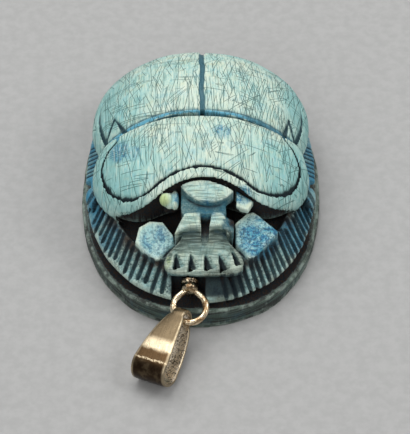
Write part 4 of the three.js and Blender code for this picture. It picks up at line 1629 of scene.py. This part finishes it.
@dataclass
class Bail:
    """A strap folded into a long loop that hangs from the ring, in mm."""

    ring: EyeRing
    ring_angle: float = 235.0
    far: Place = (-4.5, -24.0, 1.97)
    roll: float = 12.0
    near_radius: float = 0.8
    far_radius: float = 1.22
    bulge: float = 0.22
    strap: float = 0.38
    edge: float = 0.12
    crown: float = 0.05
    near_width: float = 1.4
    far_width: float = 3.8
    taper: float = 0.6
    bend_points: int = 25
    run_points: int = 24
    flat_points: int = 9  # of the section, on each side
    edge_points: int = 5  # and round each edge

    def half(self, share: float) -> float:
        """Half the loop's inside thickness along it, from 0 to 1."""
        even = self.near_radius + (self.far_radius - self.near_radius) * share
        return even + self.bulge * math.sin(math.pi * share)

    def stations(self, length: float) -> list[Pair]:
        """Points round the middle of the strap.

        Args:
            length: The loop's length between the middles of its two bends.

        Returns:
            For each point the distance along the loop and the height over it.
        """
        grow = self.strap / 2
        made: list[Pair] = []
        for middle, radius, start, side in (
            (length, self.far_radius, -90, 1),
            (0, self.near_radius, 90, -1),
        ):
            for angle in np.radians(np.linspace(start, start + 180, self.bend_points)):
                reach = radius + grow
                made.append((middle + reach * math.cos(angle), reach * math.sin(angle)))
            for share in np.linspace(0, 1, self.run_points + 2)[1:-1][::-side]:
                made.append((length * share, side * (self.half(share) + grow)))
        return made

    def build(self) -> Object:
        """Folds the strap, thin and wide, round the ring and back.

        Returns:
            The Blender object, dressed.
        """
        angle = math.radians(self.ring_angle)
        ring, down = self.ring, self.ring.down()
        near = Vector(ring.centre) + Vector((1, 0, 0)) * ring.radius * math.cos(angle)
        near -= down * ring.radius * math.sin(angle)
        along = Vector(self.far) - near
        length = along.length
        along.normalize()
        level = -along.cross(Vector((0, 0, 1))).normalized()
        level.rotate(Quaternion(along, math.radians(self.roll)))
        up = along.cross(level)
        path = self.stations(length)
        sections = []
        for i, (run, height) in enumerate(path):
            ahead, behind = path[(i + 1) % len(path)], path[i - 1]
            step = Vector((ahead[0] - behind[0], ahead[1] - behind[1])).normalized()
            out = Vector((step.y, -step.x))
            share = min(1.0, max(0.0, run / length))
            width = self.near_width + (self.far_width - self.near_width) * share**self.taper
            section = []
            for thick, side in self.strap_section(width / 2):
                place = near + along * (run + out.x * thick) + up * (height + out.y * thick)
                section.append(place + level * side)
            sections.append(section)
        bail = new_mesh("bail_strap", *tube(sections, closed=True))
        corners = range(len(sections[0]))
        maps = {
            "inside": [self.is_inside(k) for _ in path for k in corners],
            "rubbed": [self.is_edge(k) for _ in path for k in corners],
            "along": [run / length for run, _ in path for _ in corners],
        }
        tell(bail, {name: np.array(values) for name, values in maps.items()})
        bail.data.materials.append(TarnishedBrass().material())
        return bail

    def strap_section(self, half_width: float) -> list[Pair]:
        """The strap's section, with rounded edges and a slightly crowned outside.

        Args:
            half_width: Half the strap's width here.

        Returns:
            Its corners as thickness and width: outside, one edge, inside and the other edge.
        """
        half, edge = self.strap / 2, self.edge
        across = np.linspace(-1, 1, self.flat_points)
        outside = [(half - self.crown * (t * t), t * (half_width - edge)) for t in across]
        far_side = [
            (half - self.crown - edge + edge * math.cos(a), half_width - edge + edge * math.sin(a))
            for a in np.radians([30, 60, 90])
        ]
        inside = [(-half, t * (half_width - edge)) for t in across[::-1]]
        under = [
            (-half + edge - edge * math.cos(a), half_width - edge + edge * math.sin(a))
            for a in np.radians([60, 30])
        ]
        near_under = [(thick, -side) for thick, side in reversed(under)]
        near_side = [(thick, -side) for thick, side in reversed(far_side)]
        return [*outside, *far_side, *under, *inside, *near_under, *near_side]

    def is_inside(self, corner: int) -> bool:
        """Whether a corner of the section lies on the inside of the loop."""
        half, place = divmod(corner, self.flat_points + self.edge_points)
        return half == 1 and place < self.flat_points

    def is_edge(self, corner: int) -> bool:
        """Whether a corner of the section lies on one of the strap's two narrow edges."""
        place = corner % (self.flat_points + self.edge_points)
        return not 1 <= place < self.flat_points - 1


# ---- finishes ----

PLUS = {"operation": "ADD"}
TIMES = {"operation": "MULTIPLY"}
TIMES_PLUS = {"operation": "MULTIPLY_ADD"}
LARGER = {"operation": "MAXIMUM"}
NEAR = {"operation": "COMPARE"}
OVER = {"operation": "GREATER_THAN"}
SMOOTH = {"interpolation_type": "SMOOTHSTEP"}
COLOURS = {"data_type": "RGBA"}
COLOUR_OUT = 2


@dataclass(frozen=True)
class Span:
    """How much of a named map shows: low at its start value and high at its end value."""

    name: str
    start: float = 0.0
    end: float = 1.0
    low: float = 0.0
    high: float = 1.0


@dataclass(frozen=True)
class Coat:
    """A colour laid over the ones before it, as far as all its spans let it."""

    colour: str
    where: tuple[Span, ...]


@dataclass(frozen=True)
class Grain:
    """A soft uneven pattern by its real pitch along x, y and z, in mm."""

    name: str
    pitch: tuple[float, float, float]
    detail: float = 3.0
    roughness: float = 0.6
    turn: float = 0.0  # degrees about the vertical
    at: float = 0.0  # where in the noise it is taken, in mm
    aside: float = 0.0  # how far it is moved across its run, in mm


@dataclass(frozen=True)
class Scratches:
    """Fine scratches that run one way, by real sizes in mm.

    A real scratch here is some 0.01 mm wide, too fine to show, so they are drawn coarser.
    """

    turn: float  # degrees from front to back
    at: float
    cover: float  # share of the surface that has them
    pitch: float = 0.5
    length: float = 16.0
    width: float = 0.05
    bare: float = 0.62  # level of the third pattern over which nothing would be covered
    spread: float = 0.24  # how far below it everything would be
    ease: float = 0.06

    def patterns(self, name: str) -> tuple[Grain, Grain, Grain]:
        """The patterns that make the scratches.

        Args:
            name: What their names begin with.

        Returns:
            Two copies of a pattern a little apart, which differ only in the scratches, and
            a third that breaks the scratches up.
        """
        stretch = (self.pitch, self.length, self.length / 2)
        here = Grain(name, stretch, 0.0, 0.5, self.turn, self.at)
        beside = Grain(name + "_beside", stretch, 0.0, 0.5, self.turn, self.at, self.width)
        shown = (self.pitch * 2, self.length / 5, self.length / 5)
        return here, beside, Grain(name + "_shown", shown, 1.0, 0.5, self.turn, self.at + self.length)


Layer = tuple[float, tuple[Span, ...]]  # how far a part of the surface rises, and where


class Shader:
    """The node tree of one material while it is put together."""

    def __init__(self, name: str) -> None:
        """Starts an empty material.

        Args:
            name: Its name.
        """
        self.material = bpy.data.materials.new(name)
        self.material.use_nodes = True
        self.tree = self.material.node_tree
        self.tree.nodes.clear()
        self.maps: dict[str, Socket] = {}
        self.place = self.add("TexCoord", out="Object")

    def add(
        self,
        kind: str,
        settings: dict[str, Any] | None = None,
        links: dict[Any, Any] | None = None,
        out: int | str = 0,
    ) -> Socket:
        """Adds a node.

        Args:
            kind: Its type, without the ShaderNode that they all begin with.
            settings: Its properties by name.
            links: What each socket gets, by name or number: another node's output, or a plain
                value.
            out: Which of its outputs is wanted.

        Returns:
            That output.
        """
        node = self.tree.nodes.new("ShaderNode" + kind)
        for key, value in (settings or {}).items():
            setattr(node, key, value)
        for key, source in (links or {}).items():
            if isinstance(source, bpy.types.NodeSocket):
                self.tree.links.new(source, node.inputs[key])
            else:
                node.inputs[key].default_value = source
        return node.outputs[out] if node.outputs else None

    def learn(self, names: Sequence[str]) -> None:
        """Takes up maps that the mesh carries on its points."""
        for name in names:
            self.maps[name] = self.add("Attribute", {"attribute_name": name}, out="Fac")

    def grow(self, grains: Sequence[Grain]) -> None:
        """Takes up uneven patterns, each scaled by its real pitch.

        Args:
            grains: The patterns.
        """
        for grain in grains:
            turn = math.radians(grain.turn)
            aside = Vector((math.cos(turn), math.sin(turn), 0)) * grain.aside
            links = {
                "Vector": self.place,
                "Location": (Vector([grain.at] * 3) + aside) * MM,
                "Rotation": (0, 0, turn),
                "Scale": [pitch * MM for pitch in grain.pitch],
            }
            spot = self.add("Mapping", {"vector_type": "TEXTURE"}, links)
            links = {"Vector": spot, "Scale": 1.0, "Detail": grain.detail, "Roughness": grain.roughness}
            self.maps[grain.name] = self.add("TexNoise", links=links)

    def scratch(self, name: str, rows: Sequence[Scratches]) -> None:
        """Takes up a map that is 1 in scratches.

        Args:
            name: The map's name.
            rows: The scratches, each set running its own way.
        """
        total: Any = 0.0
        for i, row in enumerate(rows):
            here, beside, shown = row.patterns(f"{name}_{i}")
            self.grow((here, beside, shown))
            one, other = (
                self.add("Math", OVER, {0: self.maps[copy.name], 1: 0.5}) for copy in (here, beside)
            )
            self.maps[name] = self.add("Math", NEAR, {0: one, 1: other, 2: 0.5})
            edge = row.bare - row.spread * row.cover
            lines = self.shown((Span(name, 1, 0), Span(shown.name, edge, edge + row.ease)))
            total = self.add("Math", LARGER, {0: total, 1: lines})
        self.maps[name] = total

    def shown(self, spans: Sequence[Span]) -> Socket:
        """Where all of several maps show.

        Args:
            spans: How much of each map shows.

        Returns:
            The product of their shares.
        """
        total: Any = None
        for span in spans:
            links = {"Value": self.maps[span.name], "From Min": span.start, "From Max": span.end}
            share = self.add("MapRange", SMOOTH, {**links, "To Min": span.low, "To Max": span.high})
            total = share if total is None else self.add("Math", TIMES, {0: total, 1: share})
        return total

    def coated(self, ground: str, coats: Sequence[Coat]) -> Socket:
        """Lays coats of colour over each other.

        Args:
            ground: The first colour.
            coats: The others, in order.

        Returns:
            The colour that shows.
        """
        colour: Any = linear(ground)
        for coat in coats:
            links = {0: self.shown(coat.where), 6: colour, 7: linear(coat.colour)}
            colour = self.add("Mix", COLOURS, links, COLOUR_OUT)
        return colour

    def relief(self, height: float, strength: float, layers: Sequence[Layer]) -> Socket:
        """Raises and sinks the surface finely.

        Args:
            height: What a height of 1 stands for, in mm.
            strength: How strongly it shows, from 0 to 1.
            layers: How far each layer rises, and where.

        Returns:
            The surface's direction.
        """
        total: Any = 0.0
        for rise, spans in layers:
            total = self.add("Math", TIMES_PLUS, {0: self.shown(spans), 1: rise, 2: total})
        return self.add("Bump", links={"Strength": strength, "Distance": height * MM, "Height": total})

    def finish(self, links: dict[Any, Any]) -> Material:
        """Adds the surface shader and the output, and gives the material."""
        self.add("OutputMaterial", links={"Surface": self.add("BsdfPrincipled", links=links)})
        return self.material


@dataclass(frozen=True)
class GlazedSteatite:
    """Steatite, cut and scratched by hand, under an alkaline copper glaze that wear has thinned.

    The glaze stays deep teal in the cuts and thins to pale green-grey where hands rubbed it;
    the soft stone under it shows the file's scratches. Painted shade with grime darkens the hollows
    and cavities; more painted shade lies on the face below the brows, in the chips and under the
    chin, with a painted highlight on the shaded face's edges.
    """

    glaze: str = "#8fcdca"
    # pale where the glaze is rubbed, and a painted highlight on the edges of the shaded face
    wear_and_highlight: str = "#d9ead9"
    warm: str = "#d3dab6"
    cool: str = "#84c2cd"
    turquoise: str = "#54a9bd"
    deep_blue: str = "#1d6c9c"
    eye: str = "#c6dc9c"
    hair_dark: str = "#6fa39e"
    hair_light: str = "#e9f0dc"
    streak: str = "#7fb5b4"
    ridge: str = "#63adc6"
    scratched: str = "#3a625f"
    ledge: str = "#27616f"
    # painted shade below the brows and on the chips' walls
    scoop_shade: str = "#2c3f39"
    shaded: str = "#4f645a"
    foot: str = "#4b6157"
    foot_dark: str = "#1d2422"
    flank: str = "#3485a5"
    leg: str = "#67979a"
    teal: str = "#345862"
    suture: str = "#336776"
    rim_line: str = "#20404a"
    grime: str = "#364137"
    # near black: the carved lines, the legs' cuts and dark specks, and painted shade in the hollows,
    # cavities and chips and under the chin
    cut: str = "#13222a"
    # brown grime, laid with painted shade in the cavities and on the legs' inner band
    dirt_and_shade: str = "#33261d"
    roughness: tuple[float, float] = (0.65, 0.48)  # where the glaze is whole and where it is rubbed
    matte: tuple[str, ...] = ("hollow", "cavity", "chin", "inner", "ribs")  # grime has no gloss; these maps also carry painted shade
    sites: tuple[str, ...] = (
        "hollow", "edge", "cavity", "legs", "inner", "flank", "ribs", "ledge", "filed", "scoop_shade",
        "shaded", "notched", "brink", "bean", "rims", "seam", "band", "suture", "back", "foot",
        "blue", "thick", "grimy", "chin", "speckled", "yellow",
    )
    grains: tuple[Grain, ...] = (
        Grain("broad", (3.6, 3.6, 3.6), 4.0),
        Grain("patch", (1.1, 1.1, 1.1), 4.0, 0.65),
        Grain("fine", (0.2, 0.2, 0.2), 3.0, 0.7),
        Grain("dots", (0.3, 0.3, 0.3), 2.0, 0.8),
        Grain("hair", (0.13, 1.6, 1.6), 2.0),
        Grain("file", (3.0, 0.17, 0.17), 2.0),
        Grain("saw", (5.0, 5.0, 0.2), 2.0),
    )
    scratches: tuple[Scratches, ...] = (
        Scratches(3, 3.1, 0.75),
        Scratches(-13, 41.7, 0.6),
        Scratches(19, 83.9, 0.55),
        Scratches(83, 137.3, 0.35),
        Scratches(-48, 181.1, 0.3),
    )

    def coats(self) -> list[Coat]:
        """The colours laid over the glaze.

        Returns:
            Coats, from the first to the last.
        """
        whole = Span("blue"), Span("patch", 0.38, 0.6, 0.25)
        sooty = Span("legs"), Span("patch", 0.42, 0.62, 0.1, 0.9)
        return [
            Coat(self.wear_and_highlight, (Span("broad", 0.3, 0.7, 0.25, 0.95),)),
            Coat(self.wear_and_highlight, (Span("fine", 0.4, 0.65, 0, 0.5),)),
            Coat(self.wear_and_highlight, (Span("edge", 0, 1, 0, 0.8),)),
            Coat(self.glaze, (Span("thick", 0, 1, 0, 0.7),)),
            Coat(self.cool, (Span("patch", 0.5, 0.3, 0, 0.5),)),
            Coat(self.warm, (Span("patch", 0.5, 0.75, 0, 0.55),)),
            Coat(self.eye, (Span("yellow"),)),
            Coat(self.turquoise, whole),
            Coat(self.deep_blue, (*whole, Span("dots", 0.39, 0.54))),
            Coat(self.teal, (Span("speckled"), Span("dots", 0.5, 0.62, 0, 0.8))),
            Coat(self.hair_dark, (Span("back"), Span("hair", 0.52, 0.66, 0, 0.55))),
            Coat(self.hair_light, (Span("back"), Span("hair", 0.46, 0.34, 0, 0.45))),
            Coat(self.streak, (Span("brink"), Span("patch", 0.35, 0.6, 0.25, 0.8))),
            Coat(self.ridge, (Span("band", 0.3, 0.7),)),
            Coat(self.scratched, (Span("scratches", 0, 1, 0, 0.85), Span("back", 0, 1, 0.3, 1.0))),
            Coat(self.scratched, (Span("filed"), Span("file", 0.48, 0.62, 0, 0.5))),
            Coat(self.foot, (Span("foot"),)),
            Coat(self.foot_dark, (Span("foot"), Span("saw", 0.57, 0.43, 0.1, 1.0))),
            Coat(self.teal, (Span("foot"), Span("patch", 0.45, 0.7, 0, 0.55))),
            Coat(self.wear_and_highlight, (Span("foot"), Span("edge"), Span("patch", 0.42, 0.62, 0.05, 0.35))),
            Coat(self.ledge, (Span("ledge", 0, 1, 0, 0.95), Span("fine", 0.3, 0.6, 1.0, 0.75))),
            Coat(self.shaded, (Span("shaded"), Span("file", 0.35, 0.62, 0.45, 0.85))),
            # painted highlight on the edges of the shaded face
            Coat(self.wear_and_highlight, (Span("shaded"), Span("edge", 0.3, 1.0, 0, 0.6))),
            # painted shade below the brows and on the chips' walls
            Coat(self.scoop_shade, (Span("scoop_shade"), Span("file", 0.35, 0.62, 0.6, 0.95))),
            Coat(self.teal, (Span("hollow"), Span("fine", 0.25, 0.75, 0.75, 1.0))),
            # painted shade with grime, near black in the deepest hollows
            Coat(self.cut, (Span("hollow", 0.45, 1.0, 0, 0.9),)),
            Coat(self.cut, (Span("bean", 0.2, 0.6, 0, 0.95),)),
            Coat(self.rim_line, (Span("rims", 0.2, 0.65, 0, 0.92),)),
            Coat(self.suture, (Span("seam", 0.25, 0.75, 0, 0.95),)),
            Coat(self.suture, (Span("suture", 0.3, 0.6, 0, 0.95),)),
            Coat(self.leg, (Span("legs"), Span("fine", 0.35, 0.65, 0.5, 1.0))),
            Coat(self.cut, (*sooty, Span("fine", 0.35, 0.6, 0.15, 1.0))),
            # grime with painted shade on the legs' inner band
            Coat(self.dirt_and_shade, (Span("inner"), Span("patch", 0.35, 0.55, 0.4, 0.95))),
            Coat(self.flank, (Span("flank"), Span("patch", 0.35, 0.65, 0.25, 0.95))),
            Coat(self.flank, (Span("legs"), Span("blue"), Span("fine", 0.4, 0.6, 0.3, 0.85))),
            Coat(self.grime, (Span("grimy"), Span("fine", 0.3, 0.6, 1.0, 0.55))),
            # painted shade under the chin
            Coat(self.cut, (Span("chin"), Span("patch", 0.3, 0.6, 0.98, 0.75))),
            Coat(self.cut, (Span("ribs"), Span("fine", 0.2, 0.7, 1.0, 0.7))),
            # painted shade in the chips between the teeth
            Coat(self.cut, (Span("notched", 0, 1, 0, 0.95),)),
            # painted shade with brown grime in the cavities
            Coat(self.cut, (Span("cavity", 0, 0.95),)),
            Coat(self.dirt_and_shade, (Span("cavity"), Span("fine", 0.4, 0.6))),
        ]

    def material(self) -> Material:
        """Builds the material.

        Returns:
            The material.
        """
        shader = Shader("glazed_steatite")
        shader.learn(self.sites)
        shader.grow(self.grains)
        shader.scratch("scratches", self.scratches)
        whole, rubbed = self.roughness
        dull = shader.shown((Span("broad", 0.3, 0.7, whole, rubbed),))
        for name in self.matte:
            dull = shader.add("Math", LARGER, {0: dull, 1: shader.maps[name]})
        relief = (
            (0.5, (Span("fine"),)),
            (-1.0, (Span("scratches"),)),
            (-0.6, (Span("filed"), Span("file", 0.45, 0.6))),
            (-1.0, (Span("foot"), Span("saw", 0.6, 0.4))),
            (-0.4, (Span("hair", 0.5, 0.66),)),
        )
        return shader.finish(
            {
                "Base Color": shader.coated(self.glaze, self.coats()),
                "Roughness": dull,
                "IOR": 1.5,
                "Normal": shader.relief(height=0.08, strength=0.8, layers=relief),
            }
        )


@dataclass(frozen=True)
class GiltBrass:
    """Brass wire, drawn, gilt and rubbed bright: warm gold with rosy dull places."""

    bright: str = "#f6e6c6"
    rubbed: str = "#a5855f"
    dark: str = "#2f211a"
    dirty_from: tuple[float, float] = (-16.75, -16.2)  # mm along y, towards the stone

    def material(self) -> Material:
        """Builds the material.

        Returns:
            The material.
        """
        shader = Shader("gilt_brass")
        shader.grow((Grain("cloud", (0.7, 0.7, 0.7), 4.0), Grain("fine", (0.16, 0.16, 0.16), 2.0)))
        shader.maps["along"] = shader.add("SeparateXYZ", links={0: shader.place}, out="Y")
        start, end = (y * MM for y in self.dirty_from)
        coats = (
            Coat(self.rubbed, (Span("cloud", 0.42, 0.62),)),
            Coat(self.dark, (Span("cloud", 0.56, 0.7, 0, 0.6), Span("fine", 0.35, 0.55, 0.4, 1.0))),
            Coat(self.dark, (Span("along", start, end), Span("fine", 0.44, 0.58, 0.2, 1.0))),
        )
        return shader.finish(
            {
                "Base Color": shader.coated(self.bright, coats),
                "Metallic": 1.0,
                "Roughness": shader.shown((Span("cloud", 0.35, 0.7, 0.16, 0.38),)),
                "Normal": shader.relief(0.04, strength=0.4, layers=((1.0, (Span("fine"),)),)),
            }
        )


@dataclass(frozen=True)
class TarnishedBrass:
    """Brass strap, rolled and folded, brown and tarnished and rubbed bright on its edges. Along the
    strap a painted highlight band crosses the middle, with painted shade nearer the ring and deeper
    painted shade towards and round the far bend, where a thin painted highlight line runs.
    """

    # the strap's bare colour: a painted highlight band across the middle, and the painted highlight
    # line and the rubbed edges
    bright: str = "#dccaa9"
    # tarnish, and painted shade on the strap nearer the ring
    tarnish_and_shade: str = "#75664f"
    # painted shade towards the far bend
    brown: str = "#5a4630"
    # painted shade round the far bend; also dark specks, streaks and the inside of the loop
    deep: str = "#2e231a"
    grit: str = "#f6ead6"
    highlight_line_at: float = 1.0  # share of the loop's length where a thin highlight line is painted on the far bend
    highlight_line_half: float = 0.016
    grains: tuple[Grain, ...] = (
        Grain("cloud", (1.0, 1.0, 1.0), 5.0, 0.65),
        Grain("fine", (0.17, 0.17, 0.17), 4.0, 0.7),
        Grain("streak", (0.16, 5.0, 5.0), 2.0, 0.6, -18.0),  # rubbed along the strap
    )

    def material(self) -> Material:
        """Builds the material.

        Returns:
            The material.
        """
        shader = Shader("tarnished_brass")
        shader.learn(("inside", "rubbed", "along"))
        shader.grow(self.grains)
        uneven = shader.shown((Span("cloud", 0.3, 0.7, -0.016, 0.016),))
        run = shader.add("Math", PLUS, {0: shader.maps["along"], 1: uneven})
        shader.maps["run"] = run
        # the thin painted highlight line on the far bend
        shader.maps["line"] = shader.add("Math", NEAR, {0: run, 1: self.highlight_line_at, 2: self.highlight_line_half})
        coats = (
            # painted shade along the strap: nearer the ring, then deeper towards and round the far
            # bend, leaving a painted highlight band between
            Coat(self.tarnish_and_shade, (Span("run", 0.66, 0.52),)),
            Coat(self.brown, (Span("run", 0.74, 0.84),)),
            Coat(self.deep, (Span("run", 0.98, 1.12, 0, 0.9),)),
            Coat(self.tarnish_and_shade, (Span("run", 0.9, 1.0), Span("cloud", 0.46, 0.66, 0, 0.45))),
            # painted highlight line on the far bend
            Coat(self.bright, (Span("line", 0, 1, 0, 0.8), Span("fine", 0.4, 0.55))),
            Coat(self.deep, (Span("fine", 0.55, 0.7, 0, 0.5),)),
            Coat(self.deep, (Span("streak", 0.5, 0.64, 0, 0.2),)),
            Coat(self.bright, (Span("rubbed", 0.45, 1.0, 0, 0.75), Span("cloud", 0.3, 0.6, 1.0, 0.5))),
            Coat(self.deep, (Span("inside"),)),
            Coat(self.grit, (Span("inside"), Span("fine", 0.4, 0.5))),
        )
        return shader.finish(
            {
                "Base Color": shader.coated(self.bright, coats),
                "Metallic": 1.0,
                "Roughness": shader.shown((Span("cloud", 0.35, 0.7, 0.26, 0.42),)),
                "Normal": shader.relief(0.04, strength=0.35, layers=((1.0, (Span("fine"),)),)),
            }
        )


@dataclass(frozen=True)
class BackdropPaper:
    """Pale grey backdrop card, pressed and uncoated, with a faint tooth."""

    grey: str = "#b4b4b3"
    tooth: str = "#acacab"

    def material(self) -> Material:
        """Builds the material.

        Returns:
            The material.
        """
        shader = Shader("backdrop_card")
        shader.grow((Grain("tooth", (1.1, 1.1, 1.1)),))
        colour = shader.coated(self.grey, (Coat(self.tooth, (Span("tooth", 0.3, 0.7),)),))
        return shader.finish({"Base Color": colour, "Roughness": 0.85})


# ---- the studio ----


@dataclass
class Lamp:
    """A soft square light, by its place and size in mm and its power in watts."""

    name: str
    at: Place
    size: float
    power: float


def aimed(data: Any, at: Place, towards: Place) -> Object:
    """Puts a light or a camera in the scene.

    Args:
        data: Its settings, which also name it.
        at: Where it stands, in mm.
        towards: What it points at, in mm.

    Returns:
        The object.
    """
    made = bpy.data.objects.new(data.name, data)
    made.location = Vector(at) * MM
    view = (Vector(towards) - Vector(at)).normalized()
    made.rotation_euler = view.to_track_quat("-Z", "Y").to_euler()
    bpy.context.scene.collection.objects.link(made)
    return made


@dataclass
class Studio:
    """Pale floor, soft lights and the camera."""

    camera_at: Place = (0.0, -147.2, 163.5)
    aim: Place = (0.43, -2.65, 0.0)
    lens: float = 171.7
    film: float = 36.0
    floor: float = 900.0
    lamps: tuple[Lamp, ...] = (
        Lamp("key", (-80, 160, 385), 380, 1.2),
        Lamp("side", (260, -20, 260), 160, 0.34),
        Lamp("fill", (-140, -260, 300), 300, 0.42),
    )
    sky: float = 0.28

    def build(self) -> Object:
        """Sets the studio up.

        Returns:
            The floor.
        """
        half = self.floor / 2
        corners = np.array([(-half, -half, 0), (half, -half, 0), (half, half, 0), (-half, half, 0)])
        floor = new_mesh("floor", corners, np.array([[0, 1, 2, 3]]))
        floor.data.materials.append(BackdropPaper().material())
        for lamp in self.lamps:
            light = bpy.data.lights.new(lamp.name, "AREA")
            light.size = lamp.size * MM
            light.energy = lamp.power
            aimed(light, lamp.at, (0, 0, 0))
        world = bpy.data.worlds.new("studio")
        world.use_nodes = True
        world.node_tree.nodes["Background"].inputs["Color"].default_value = (1, 1, 1, 1)
        world.node_tree.nodes["Background"].inputs["Strength"].default_value = self.sky
        bpy.context.scene.world = world
        bpy.context.scene.view_settings.view_transform = "Standard"
        lens = bpy.data.cameras.new("camera")
        lens.lens = self.lens
        lens.sensor_width = self.film
        lens.clip_start = 0.01
        bpy.context.scene.camera = aimed(lens, self.camera_at, self.aim)
        return floor


def main() -> None:
    """Builds the amulet in its studio and logs which part each piece stands for."""
    logging.basicConfig(level=logging.INFO, format="%(message)s")
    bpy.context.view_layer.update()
    Studio().build()
    ring = EyeRing()
    for node, slot, piece in (
        ("scarab", "glazed_steatite", Scarab().build()),
        ("eye_ring", "ring_metal", ring.build()),
        ("bail", "bail_metal", Bail(ring).build()),
    ):
        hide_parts(node)
        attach(piece, "root")
        log.info("%s stands for %s", piece.name, node)


if __name__ == "__main__":
    main()
